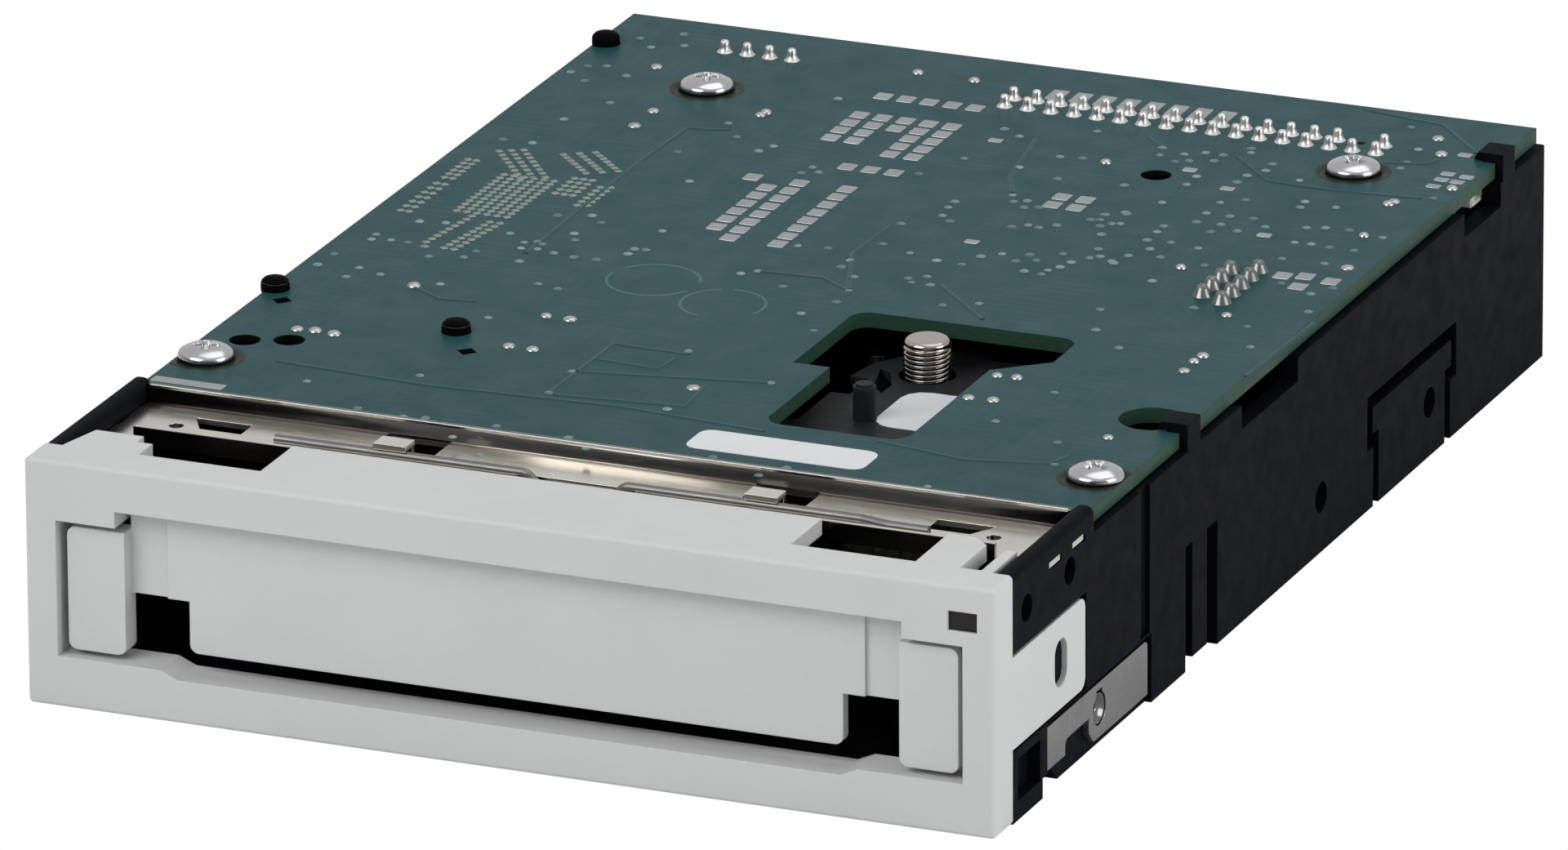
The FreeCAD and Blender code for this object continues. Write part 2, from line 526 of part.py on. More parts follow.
class Piece:
    """A body that grows by sketches and features."""

    def __init__(self, name, place=None):
        self.body = doc.addObject("PartDesign::Body", name)
        self.body.Label = name
        if place is not None:
            for direction, size in zip("xyz", place):
                self.body.setExpression("Placement.Base.%s" % direction, as_size(size).text)
        NODES.append(self.body)

    def plane(self, name):
        return next(f for f in self.body.Origin.OriginFeatures if f.Role == name + "_Plane")

    def sketch(self, plane, level, loops):
        level = as_size(level)
        drawing = self.body.newObject("Sketcher::SketchObject", self.body.Name + "_sketch")
        drawing.AttachmentSupport = [(self.plane(plane), "")]
        drawing.MapMode = "FlatFace"
        if plane == "XZ":
            level = -level
        drawing.setExpression("AttachmentOffset.Base.z", level.text)
        for loop in loops:
            if isinstance(loop, Disc):
                draw_disc(drawing, loop)
            else:
                draw_outline(drawing, loop)
        return drawing

    def add(self, plane, low, high, *loops):
        """Material between two levels along the normal of a plane."""
        pad = self.body.newObject("PartDesign::Pad", self.body.Name + "_pad")
        pad.Profile = self.sketch(plane, low, loops)
        pad.Reversed = plane == "XZ"
        pad.setExpression("Length", (as_size(high) - low).text)
        return pad

    def cut(self, plane, low, high, *loops):
        """A hollow between two levels along the normal of a plane."""
        pocket = self.body.newObject("PartDesign::Pocket", self.body.Name + "_pocket")
        start = low if plane == "XZ" else high
        pocket.Profile = self.sketch(plane, start, loops)
        pocket.setExpression("Length", (as_size(high) - low).text)
        return pocket

    def turn(self, *loops):
        """Material turned about the Z axis from outlines of radius and height."""
        turned = self.body.newObject("PartDesign::Revolution", self.body.Name + "_turned")
        turned.Profile = self.sketch("XZ", 0, loops)
        turned.ReferenceAxis = (self.axis("Z"), [""])
        turned.Angle = 360.0
        return turned

    def axis(self, name):
        return next(f for f in self.body.Origin.OriginFeatures if f.Role == name + "_Axis")

    def mirror(self, *features):
        """The features again on the other side of the YZ plane."""
        image = self.body.newObject("PartDesign::Mirrored", self.body.Name + "_mirrored")
        image.Originals = list(features)
        image.MirrorPlane = (self.plane("YZ"), [""])
        self.body.Tip = image
        return image

    def around(self, feature, count):
        """The feature again all round the Z axis."""
        ring = self.body.newObject("PartDesign::PolarPattern", self.body.Name + "_ring")
        ring.Originals = [feature]
        ring.Axis = (self.axis("Z"), [""])
        ring.Angle = 360.0
        ring.setExpression("Occurrences", count.text)
        self.body.Tip = ring
        return ring

    def row(self, feature, axis, pitch, count):
        """The feature again in a straight row."""
        line = self.body.newObject("PartDesign::LinearPattern", self.body.Name + "_row")
        line.Originals = [feature]
        line.Direction = (self.axis(axis), [""])
        line.setExpression("Length", (pitch * (count - 1)).text)
        line.setExpression("Occurrences", count.text)
        self.body.Tip = line
        return line

    def round(self, direction, places, radius, chamfer=False):
        """Round the straight edges that run in a direction through the given places."""
        doc.recompute()
        shape = self.body.Tip.Shape
        base = self.body.Tip
        wanted = [[as_size(value).value for value in place] for place in places]
        names = []
        for number, edge in enumerate(shape.Edges, start=1):
            if matches(edge, direction, wanted):
                names.append("Edge%d" % number)
        if not names:
            raise RuntimeError("%s has no such edge" % self.body.Name)
        kind = "PartDesign::Chamfer" if chamfer else "PartDesign::Fillet"
        feature = self.body.newObject(kind, self.body.Name + "_edges")
        feature.Base = (base, names)
        feature.setExpression("Size" if chamfer else "Radius", as_size(radius).text)
        self.body.Tip = feature
        return feature


def matches(edge, direction, places):
    """Whether a straight edge runs in a direction through one of the places."""
    ends = edge.Vertexes
    if len(ends) < 2:
        return False
    run = ends[1].Point - ends[0].Point
    along = "XYZ".index(direction)
    if abs(run.Length - edge.Length) > NEAR or abs(abs(run[along]) - run.Length) > NEAR:
        return False
    others = [ends[0].Point[index] for index in range(3) if index != along]
    for place in places:
        if all(abs(a - b) < NEAR for a, b in zip(others, place)):
            return True
    return False


NEAR = 1e-3


def node(name, shape_object):
    """Makes an object a sub-part of its own."""
    shape_object.Label = name
    NODES.append(shape_object)
    return shape_object


def bind(thing, prop, size):
    thing.setExpression(prop, as_size(size).text)


def move(thing, place):
    for direction, size in zip("xyz", place):
        bind(thing, "Placement.Base.%s" % direction, size)


def block(name, left, right, front, rear, low, high):
    """A plain block between six faces."""
    box = doc.addObject("Part::Box", name)
    bind(box, "Length", as_size(right) - left)
    bind(box, "Width", as_size(rear) - front)
    bind(box, "Height", as_size(high) - low)
    move(box, (left, front, low))
    return box


def rod(name, across, along, low, high, radius):
    """An upright cylinder."""
    cylinder = doc.addObject("Part::Cylinder", name)
    bind(cylinder, "Radius", radius)
    bind(cylinder, "Height", as_size(high) - low)
    move(cylinder, (across, along, low))
    return cylinder


def joined(name, parts):
    union = doc.addObject("Part::MultiFuse", name)
    union.Shapes = parts
    return union


def without(name, base, tool):
    rest = doc.addObject("Part::Cut", name)
    rest.Base = base
    rest.Tool = tool
    return rest


def group(name, parts):
    """Separate solids that share one node."""
    several = doc.addObject("Part::Compound", name)
    several.Links = parts
    return node(name, several)


def pan_screw(name, across, along, seat, shank, length, head, head_high):
    """A pan head screw with a cross recess, its head standing on the seat."""
    across = as_size(across)
    along = as_size(along)
    seat = as_size(seat)
    top = seat + head_high
    stem = rod(name + "_stem", across, along, seat - length, seat, shank)
    cap = rod(name + "_cap", across, along, seat, top, head)
    dome = doc.addObject("Part::Fillet", name + "_dome")
    doc.recompute()
    dome.Base = cap
    rounding = head_high.value * HEAD_ROUND
    edges = [n for n, e in enumerate(cap.Shape.Edges, 1) if abs(e.CenterOfMass.z - top.value) < 1e-3]
    dome.Edges = [(n, rounding, rounding) for n in edges]
    arm = head * CROSS_REACH
    half = s.screw_cross / 2
    bottom = top - s.screw_cross_deep
    first = block(name + "_cross", across - arm, across + arm, along - half, along + half, bottom, top)
    second = block(name + "_bar", across - half, across + half, along - arm, along + arm, bottom, top)
    recess = joined(name + "_recess", [first, second])
    return without(name, joined(name + "_body", [stem, dome]), recess)


HEAD_ROUND = 0.7
CROSS_REACH = 0.55


def wire(name, points, radius, thickness):
    """A round wire along straight runs joined by tangent arcs."""
    corners = [FreeCAD.Vector(*[as_size(value).value for value in point]) for point in points]
    edges = []
    start = corners[0]
    for index in range(1, len(corners) - 1):
        corner = corners[index]
        back = (corners[index - 1] - corner).normalize()
        ahead = (corners[index + 1] - corner).normalize()
        turn = math.pi - back.getAngle(ahead)
        reach = radius * math.tan(turn / 2)
        first = corner + back * reach
        last = corner + ahead * reach
        bisector = (back + ahead).normalize()
        distance = radius / math.cos(turn / 2)
        middle = corner + bisector * (distance - radius)
        edges.append(Part.LineSegment(start, first).toShape())
        edges.append(Part.Arc(first, middle, last).toShape())
        start = last
    edges.append(Part.LineSegment(start, corners[-1]).toShape())
    path = Part.Wire(edges)
    direction = (corners[1] - corners[0]).normalize()
    ring = Part.Wire([Part.Circle(corners[0], direction, thickness / 2).toShape()])
    thing = doc.addObject("Part::Feature", name)
    thing.Shape = path.makePipeShell([ring], True, True)
    return node(name, thing)


# Heights and places that several pieces share

floor_top = s.floor_thick
board_top = s.board_low + s.board_thick
wall_top = s.board_low - s.wall_drop
web_low = s.web_high - s.sheet_thick
flange_low = s.bezel_height - s.flange_thick
wall_inner = half_width - s.side_wall
led_right = half_width - s.led_side
led_left = led_right - s.led_width
board_edge = half_width - s.board_side_gap
front_screw_x = half_width - s.front_screw_in
ear_out = s.ear_in + s.ear_width
gear_high = s.gear_low + s.gear_thick
gear_pitch = s.module_size * s.gear_teeth / 2
pinion_pitch = s.module_size * s.pinion_teeth / 2
axis_distance = gear_pitch + pinion_pitch + s.centre_gap
turn_angle = math.radians(s.stepper_angle.value)
stepper_cos = Size(math.cos(turn_angle), "cos(%s * 1 deg)" % s.stepper_angle.text)
stepper_sin = Size(math.sin(turn_angle), "sin(%s * 1 deg)" % s.stepper_angle.text)
stepper_x = s.lift_x + axis_distance * stepper_cos
stepper_y = at(s.lift_at) + axis_distance * stepper_sin
lift_y = at(s.lift_at)
capstan_y = at(s.capstan_at)
rod_y = at(s.rod_at)
data_y = before_rear(s.data_back)
power_y = before_rear(s.power_back)
in_switch_y = at(s.in_switch_at)
out_switch_x = -(half_width - s.out_switch_in)
out_switch_y = at(s.out_switch_at)
rear_screw_y = before_rear(s.rear_screw_back)
BOARD_SCREWS = [
    (-front_screw_x, at(s.front_screw_at)),
    (front_screw_x, at(s.front_screw_at)),
    (s.rear_screw_left, rear_screw_y),
    (s.rear_screw_right, rear_screw_y),
]
STEPPER_EARS = [
    (stepper_x + s.stepper_ear, stepper_y),
    (stepper_x, stepper_y + s.stepper_ear),
]
CAPSTAN_CORNERS = ((-1, -1), (1, -1), (-1, 1))
plate_inset = s.plate_half - s.motor_screw_in
MOTOR_SCREWS = [(s.capstan_x + a * plate_inset, capstan_y + b * plate_inset) for a, b in CAPSTAN_CORNERS]
plate_top = s.plate_low + s.plate_thick
rod_seat = plate_top + s.fit_gap * 2
stepper_seat = s.stepper_low - s.stepper_flange
latch_y = at(s.latch_pivot_at)
latch_high = s.roller_low - s.roller_play
latch_low = latch_high - s.arm_plate
data_middle = s.data_left + s.pitch * (s.data_columns - 1) / 2
power_middle = s.power_left + s.power_pitch * (s.power_pins - 1) / 2
arm_middle = (s.arm_low + s.arm_high) / 2
coil_room = s.coil_wire * (s.coil_turns + 2)
lug_in = ear_out + s.lug_gap + coil_room
rear_peg_x = -(half_width - s.rear_peg_in)
rear_peg_y = before_rear(s.rear_peg_back)


def side_outline():
    """The outline of a side wall, in depth and height."""
    return [
        (at(s.bezel_thick), ZERO),
        (at(s.foot_end), ZERO),
        (at(s.foot_end), s.foot_notch_high),
        (at(s.foot_notch_end) - s.foot_notch_high, s.foot_notch_high),
        (at(s.foot_notch_end), ZERO),
        (rear_face, ZERO),
        (rear_face, wall_top),
        (before_rear(s.notch_two_back) + s.notch_two_wide, wall_top),
        (before_rear(s.notch_two_back) + s.notch_two_wide, s.notch_low),
        (before_rear(s.notch_two_back), s.notch_low),
        (before_rear(s.notch_two_back), wall_top),
        (at(s.notch_one_at) + s.notch_one_wide, wall_top),
        (at(s.notch_one_at) + s.notch_one_wide, s.notch_low),
        (at(s.notch_one_at), s.notch_low),
        (at(s.notch_one_at), wall_top),
        (at(s.tall_wall_end), wall_top),
        (at(s.tall_wall_end), s.bezel_height),
        (at(s.bezel_thick), s.bezel_height),
    ]


def tongue_slot_outline():
    """The slot that frees the springy side tongue, in depth and height."""
    front = at(s.tongue_from)
    rear = at(s.tongue_to)
    slot = s.tongue_slot
    step = s.tongue_step
    level = s.tongue_step_high
    top = s.tongue_high
    return [
        (front + step, -s.fit_gap),
        (front + step, level - slot / 2),
        (front, level - slot / 2),
        (front, top),
        (rear, top),
        (rear, level - slot / 2),
        (rear - step, level - slot / 2),
        (rear - step, -s.fit_gap),
        (rear - step - slot, -s.fit_gap),
        (rear - step - slot, level + slot / 2),
        (rear - slot, level + slot / 2),
        (rear - slot, top - slot),
        (front + slot, top - slot),
        (front + slot, level + slot / 2),
        (front + step + slot, level + slot / 2),
        (front + step + slot, -s.fit_gap),
    ]


def finger_outline():
    """The slits that free the snap finger of a side wall, in depth and height."""
    front = at(s.finger_from)
    rear = at(s.finger_to)
    return [
        (front - s.slit_one, -s.fit_gap),
        (rear + s.slit_two, -s.fit_gap),
        (rear + s.slit_two, s.slit_high),
        (rear, s.slit_high),
        (rear, s.finger_low),
        (front, s.finger_low),
        (front, s.slit_high),
        (front - s.slit_one, s.slit_high),
    ]


def hook_outline():
    """A snap hook that reaches up beside the board and over it, seen from the front."""
    nose = half_width - s.hook_reach
    root = wall_top - s.board_thick
    return [
        (wall_inner, root),
        (half_width, root),
        (half_width, board_top + s.hook_thick),
        (nose + s.hook_thick / 2, board_top + s.hook_thick),
        (nose, board_top + s.fit_gap),
        (wall_inner, board_top + s.fit_gap),
    ]


def make_walls(base):
    """The two side walls with their recesses and cut-outs, and the rear wall."""
    inner_front = at(s.bezel_thick)
    outer = half_width + s.fit_gap
    base.add("YZ", -half_width, half_width, side_outline())
    base.cut("XY", -s.fit_gap, s.bezel_height + s.fit_gap,
             rectangle(-wall_inner, wall_inner, inner_front - s.fit_gap, rear_face - s.rear_wall))
    recess_gap = s.fit_gap * 3
    arm_recess = rectangle(inner_front, at(s.arm_end) + recess_gap,
                           s.arm_low - recess_gap, s.arm_high + recess_gap)
    clip_recess = rectangle(at(s.foot_end) + s.rib_wide, at(s.clip_recess_end),
                            -s.fit_gap, s.clip_recess_high - s.fit_gap * 2)
    pocket = rectangle(inner_front + s.foot_margin, at(s.foot_end) - s.foot_margin / 2,
                       s.foot_margin * 1.5, s.arm_low - s.foot_margin)
    groove = rectangle(at(s.groove_at), at(s.groove_at) + s.groove_wide,
                       s.clip_recess_high, wall_top + s.fit_gap)
    cuts = [
        base.cut("YZ", half_width - s.arm_thick - s.fit_gap, outer, arm_recess),
        base.cut("YZ", half_width - s.clip_thick, outer, clip_recess),
        base.cut("YZ", half_width - s.foot_pocket, outer, pocket),
        base.cut("YZ", half_width - s.groove_deep, outer, groove),
    ]
    base.mirror(*cuts)
    through = [
        finger_outline(),
        tongue_slot_outline(),
        Disc(at(s.side_hole_one), s.side_hole_high, s.side_hole_radius),
        Disc(at(s.side_hole_two), s.side_hole_high, s.side_hole_radius),
        Disc(at(s.round_hole_one), s.round_hole_high, s.round_hole_radius),
        Disc(at(s.round_hole_two), s.round_hole_high, s.round_hole_radius),
    ]
    tab_half = s.tab_width / 2 + s.fit_gap
    for place in (s.tab_one_at, s.tab_two_at):
        through.append(rectangle(at(place) - tab_half, at(place) + tab_half,
                                 web_low - s.fit_gap, s.web_high + s.fit_gap))
    base.cut("YZ", -outer, outer, *through)
    shroud_half = s.shroud_wide / 2 + s.fit_gap
    power_half = s.power_wide / 2 + s.fit_gap
    ports = [
        rectangle(data_middle - shroud_half, data_middle + shroud_half,
                  s.board_low - s.shroud_high - s.fit_gap, s.bezel_height),
        rectangle(power_middle - power_half, power_middle + power_half,
                  s.board_low - s.power_high - s.fit_gap, s.bezel_height),
    ]
    base.cut("XZ", rear_face - s.rear_wall - s.fit_gap, rear_face + s.fit_gap, *ports)


def make_floor(base):
    """The floor in two levels, with the stepped opening for the capstan motor."""
    sheet_edge = rectangle(-wall_inner, wall_inner, at(s.bezel_thick), rear_face - s.rear_wall)
    bush = Disc(s.lift_x, lift_y, s.screw_bush)
    plate = s.plate_half + s.fit_gap * 2
    recess = rectangle(s.capstan_x - plate, s.capstan_x + plate, capstan_y - plate, capstan_y + plate)
    opening = Disc(s.capstan_x, capstan_y, s.rotor_radius + s.rotor_skin * 2)
    screws = [Disc(x, y, s.motor_screw) for x, y in MOTOR_SCREWS]
    base.add("XY", ZERO, plate_top, sheet_edge, recess, bush)
    base.add("XY", plate_top, floor_top, sheet_edge, opening, bush, *screws)


def make_bay(base):
    """The guides, rails and stops of the cartridge bay and the ties that brace them."""
    guide_out = s.bay_half + s.bay_guide
    bay_rear = at(s.bay_end)
    guide = rectangle(s.bay_half, guide_out, at(s.guide_from), bay_rear + s.stop_deep)
    rail = rectangle(s.bay_half - s.rail_wide, s.bay_half, at(s.rail_from), bay_rear)
    stop = rectangle(s.bay_half - s.rail_wide / 2, s.bay_half, bay_rear, bay_rear + s.stop_deep)
    ties = [rectangle(guide_out, wall_inner, at(place), at(place) + s.rib_wide)
            for place in (s.finger_from - s.slit_one * 2, s.bay_end)]
    base.add("XY", floor_top, s.guide_high, *both(guide))
    base.add("XY", floor_top, s.bay_floor, *both(rail))
    base.add("XY", floor_top, s.stop_high, *both(stop))
    base.add("XY", floor_top, s.slit_high, *both(*ties))
    reach = s.feeler_radius * 1.5
    middle = out_switch_y - s.feeler_back
    window = rectangle(middle - reach, middle + reach, s.out_feeler_high - reach, s.guide_high + s.fit_gap)
    base.cut("YZ", -guide_out - s.fit_gap, -s.bay_half + s.fit_gap, window)


def make_chassis():
    """The moulded base: floor, side walls, guides, posts and bosses in one piece."""
    base = Piece("chassis")
    make_walls(base)
    make_floor(base)
    make_bay(base)
    post = [Disc(x, y, s.post_radius) for x, y in BOARD_SCREWS]
    base.add("XY", floor_top, s.board_low, *post, Disc(rear_peg_x, rear_peg_y, s.peg_radius * 1.3))
    base.add("XY", s.board_low, board_top + s.peg_high, Disc(rear_peg_x, rear_peg_y, s.peg_radius))
    for front in (at(s.hook_one_at), before_rear(s.hook_two_back)):
        base.add("XZ", front, front + s.hook_wide, hook_outline())
    base.add("XY", floor_top, stepper_seat, *[Disc(x, y, s.ear_round) for x, y in STEPPER_EARS])
    base.add("XY", floor_top, s.carriage_low / 2, Disc(s.rod_x, rod_y, s.rod_boss))
    base.add("XY", floor_top, latch_low - s.fit_gap * 2, *both(Disc(s.latch_pivot_x, latch_y, s.latch_hub)))
    rib_front = stepper_y + s.stepper_ear + s.ear_round * 2
    cross_rib = before_rear(s.rear_screw_back * 1.5)
    base.add("XY", floor_top, s.rib_high,
             rectangle(-wall_inner, wall_inner, rib_front, rib_front + s.rib_wide),
             rectangle(-wall_inner, wall_inner, cross_rib, cross_rib + s.rib_wide))
    base.add("XY", floor_top, s.rib_high,
             rectangle(-s.rib_wide / 2, s.rib_wide / 2, rib_front, rear_face - s.rear_wall))
    base.cut("XY", rod_seat, s.roller_low, Disc(s.rod_x, rod_y, s.rod_radius),
             *both(Disc(s.latch_pivot_x, latch_y, s.latch_pin)))
    base.cut("XY", floor_top, s.stepper_low, *[Disc(x, y, s.motor_screw) for x, y in STEPPER_EARS])
    base.cut("XY", s.board_low - s.screw_length - s.fit_gap, s.board_low + s.fit_gap,
             *[Disc(x, y, s.screw_core) for x, y in BOARD_SCREWS])
    base.round("Z", [(half_width, rear_face), (-half_width, rear_face)], s.bezel_round)
    base.round("Y", [(side, s.bezel_height) for side in (-half_width, -wall_inner, wall_inner, half_width)],
               s.wall_round)


def make_bezel():
    """The front frame with its top flange, tongues, side arms and hinge lugs."""
    frame = Piece("bezel")
    rear = at(s.bezel_thick)
    frame.add("XZ", front_face, rear, rectangle(-half_width, half_width, ZERO, s.bezel_height))
    opening = [
        (-s.sill_half, s.sill_high),
        (s.sill_half, s.sill_high),
        (s.sill_half + s.sill_slope, s.opening_low),
        (s.opening_half, s.opening_low),
        (s.opening_half, s.opening_high),
        (s.middle_half, s.opening_high),
        (s.middle_half, s.middle_high),
        (-s.middle_half, s.middle_high),
        (-s.middle_half, s.opening_high),
        (-s.opening_half, s.opening_high),
        (-s.opening_half, s.opening_low),
        (-s.sill_half - s.sill_slope, s.opening_low),
    ]
    frame.cut("XZ", front_face - s.fit_gap, rear + s.fit_gap, opening)
    frame.cut("XZ", at(s.lintel_thick), rear + s.fit_gap,
              rectangle(-s.middle_half, s.middle_half, s.middle_high - s.fit_gap, flange_low))
    top = s.bezel_height
    edge = wall_inner - s.fit_gap
    flange = [
        (-edge, at(s.lintel_thick)),
        (edge, at(s.lintel_thick)),
        (edge, at(s.strip_depth)),
        (s.strip_inner, at(s.strip_depth)),
        (s.strip_inner, at(s.window_front)),
        (s.tongue_half, at(s.window_front)),
        (s.tongue_half, at(s.right_tongue_depth) - s.flange_thick),
        (s.tongue_half - s.flange_thick, at(s.right_tongue_depth)),
        (s.window_out, at(s.right_tongue_depth)),
        (s.window_out, at(s.window_front)),
        (s.window_in, at(s.window_front)),
        (s.window_in, at(s.flange_depth)),
        (-s.window_in, at(s.flange_depth)),
        (-s.window_in, at(s.window_front)),
        (-s.window_out, at(s.window_front)),
        (-s.window_out, at(s.left_tongue_depth) - s.flange_thick),
        (-s.window_out - s.flange_thick, at(s.left_tongue_depth) - s.flange_thick),
        (-s.window_out - s.flange_thick, at(s.left_tongue_depth)),
        (-s.strip_inner, at(s.left_tongue_depth)),
        (-edge, at(s.window_front)),
    ]
    frame.add("XY", flange_low, top, flange)
    arm_face = half_width - s.arm_thick
    arm = [frame.add("YZ", arm_face, half_width,
                     rectangle(rear - s.arm_thick, at(s.arm_end), s.arm_low, s.arm_high))]
    arm.append(frame.cut("YZ", arm_face - s.fit_gap, half_width + s.fit_gap,
                         rectangle(at(s.arm_slot_at) - s.arm_slot_width / 2,
                                   at(s.arm_slot_at) + s.arm_slot_width / 2,
                                   arm_middle - s.arm_slot_height / 2,
                                   arm_middle + s.arm_slot_height / 2)))
    arm.append(frame.add("YZ", lug_in, lug_in + s.lug_width,
                         rectangle(at(s.lintel_thick), at(s.lug_rear), s.middle_high, flange_low)))
    frame.mirror(*arm)
    frame.cut("YZ", -s.pin_half, s.pin_half, Disc(at(s.hinge_at), s.hinge_high, s.pin_radius))
    frame.cut("XZ", front_face - s.fit_gap, at(s.led_recess) + s.led_depth,
              rectangle(led_left, led_right, s.led_low, s.led_low + s.led_height))
    corners = [(side, height) for side in (-half_width, half_width) for height in (ZERO, top)]
    frame.round("Y", corners, s.bezel_round)
    frame.round("X", [(front_face, ZERO), (front_face, top)], s.bezel_round)
    slot_low = arm_middle - s.arm_slot_height / 2
    slot_high = arm_middle + s.arm_slot_height / 2
    slot_ends = [(at(s.arm_slot_at) + sign * s.arm_slot_width / 2, height)
                 for sign in (-1, 1) for height in (slot_low, slot_high)]
    frame.round("X", slot_ends, s.arm_slot_width * 0.45)
    arm_ends = [(at(s.arm_end), height) for height in (s.arm_low, s.arm_high)]
    frame.round("X", arm_ends, s.arm_thick)


def make_door():
    """The cartridge door: a thin panel, set-back webs and two end pads in one moulding."""
    door = Piece("door_flap")
    rear = at(s.panel_rear)
    panel = [
        (-s.notch_half, s.panel_low),
        (s.notch_half, s.panel_low),
        (s.notch_half, s.notch_high),
        (s.panel_half, s.notch_high),
        (s.panel_half, s.panel_high),
        (-s.panel_half, s.panel_high),
        (-s.panel_half, s.notch_high),
        (-s.notch_half, s.notch_high),
    ]
    door.add("XZ", at(s.panel_front), rear, panel)
    web = rectangle(s.panel_half, s.pad_in, s.notch_high, s.panel_high)
    door.add("XZ", at(s.web_front), rear, *both(web))
    pad = rectangle(s.pad_in, s.pad_out, s.pad_low, s.pad_high)
    door.add("XZ", at(s.pad_front), rear, *both(pad))
    for sign in (-1, 1):
        low, high = sorted((sign * s.ear_in, sign * ear_out), key=lambda size: size.value)
        door.add("YZ", low, high, Disc(at(s.hinge_at), s.hinge_high, s.ear_radius))
    door.cut("YZ", -ear_out - s.fit_gap, ear_out + s.fit_gap,
             Disc(at(s.hinge_at), s.hinge_high, s.pin_radius + s.running_gap))
    lug_room = rectangle(ear_out + s.lug_gap / 2, lug_in + s.lug_width + s.lug_gap,
                         s.hinge_high - s.lug_notch, s.panel_high + s.fit_gap)
    door.cut("XZ", at(s.pad_front), rear + s.fit_gap, *both(lug_room))
    pad_corners = [(sign * x, z) for sign in (-1, 1) for x in (s.pad_in, s.pad_out)
                   for z in (s.pad_low, s.pad_high)]
    door.round("Y", [(x, z) for x, z in pad_corners if z is not s.pad_high or abs(x.value) > s.pad_in.value],
               s.pad_round)
    door.round("Y", [(-s.notch_half, s.panel_low), (s.notch_half, s.panel_low)], s.pad_round)


def make_hinge():
    """The hinge rod and the torsion spring of the door."""
    pin = Piece("door_pin")
    pin.add("YZ", -s.pin_half, s.pin_half, Disc(at(s.hinge_at), s.hinge_high, s.pin_radius))
    spring_radius = s.pin_radius + s.coil_wire * 0.8
    pitch = s.coil_wire * 1.15
    helix = Part.makeHelix(pitch.value, (pitch * s.coil_turns).value, spring_radius.value)
    start = FreeCAD.Vector(spring_radius.value, 0, 0)
    ring = Part.Wire([Part.Circle(start, FreeCAD.Vector(0, 1, 0), s.coil_wire.value / 2).toShape()])
    coil = Part.Wire(helix).makePipeShell([ring], True, True)
    thing = doc.addObject("Part::Feature", "door_spring")
    thing.Shape = coil
    turn = FreeCAD.Rotation(FreeCAD.Vector(0, 1, 0), 90)
    thing.Placement = FreeCAD.Placement(FreeCAD.Vector(), turn)
    middle = ear_out + s.lug_gap + coil_room / 2
    move(thing, (middle - pitch * s.coil_turns / 2, at(s.hinge_at), s.hinge_high))
    node("door_spring", thing)


def make_led():
    lens = block("led_lens", led_left, led_right, at(s.led_recess),
                 at(s.led_recess) + s.led_depth, s.led_low, s.led_low + s.led_height)
    node("led_lens", lens)


def make_bracket():
    """The plated sheet bracket with its lip, upstand, slots, hooks and side tabs."""
    bracket = Piece("front_bracket")
    side = wall_inner - s.bracket_gap
    front = at(s.web_front_at)
    rear = at(s.web_rear_at)
    profile = [
        (front, web_low),
        (rear, web_low),
        (rear, s.upstand_high),
        (rear - s.sheet_thick, s.upstand_high),
        (rear - s.sheet_thick, s.web_high),
        (front + s.sheet_thick, s.web_high),
        (front + s.sheet_thick, s.lip_high),
        (front, s.lip_high),
    ]
    bracket.add("YZ", -side, side, profile)
    strip_room = rectangle(s.tongue_half, side + s.fit_gap, s.web_high, s.upstand_high)
    bracket.cut("XZ", front - s.fit_gap, front + s.sheet_thick, *both(strip_room))
    reach = half_width - s.fit_gap
    tabs = [rectangle(-reach, reach, at(place) - s.tab_width / 2, at(place) + s.tab_width / 2)
            for place in (s.tab_one_at, s.tab_two_at)]
    bracket.add("XY", web_low, s.web_high, *tabs)
    stud_slot = [
        (s.stud_slot_in, at(s.stud_slot_front)),
        (s.stud_slot_out - s.stud_slot_taper, at(s.stud_slot_front)),
        (s.stud_slot_out, at(s.stud_slot_rear)),
        (s.stud_slot_in, at(s.stud_slot_rear)),
    ]
    hook_slot = rectangle(s.hook_slot_in, s.hook_slot_out, at(s.hook_slot_front), at(s.hook_slot_rear))
    oval = Disc(s.latch_pivot_x - s.latch_hub, at(s.stud_slot_front), s.stud_radius * 0.8)
    middle = rectangle(-s.wire_hole_half, s.wire_hole_half, at(s.wire_at) - s.wire_thick,
                       at(s.wire_at) + s.wire_thick)
    bracket.cut("XY", web_low - s.fit_gap, s.web_high + s.fit_gap, middle, *both(stud_slot, hook_slot, oval))
    hook_top = s.web_high + s.wire_thick + s.sheet_thick + s.fit_gap
    slot_middle = (s.hook_slot_in + s.hook_slot_out) / 2
    hook = [
        (at(s.hook_slot_front), s.web_high),
        (at(s.hook_slot_front), hook_top),
        (at(s.wire_at) - s.wire_thick / 2, hook_top),
        (at(s.wire_at) - s.wire_thick / 2, hook_top - s.sheet_thick),
        (at(s.hook_slot_front) - s.sheet_thick, hook_top - s.sheet_thick),
        (at(s.hook_slot_front) - s.sheet_thick, s.web_high),
    ]
    half = s.hook_width / 2
    bracket.mirror(bracket.add("YZ", slot_middle - half, slot_middle + half, hook))


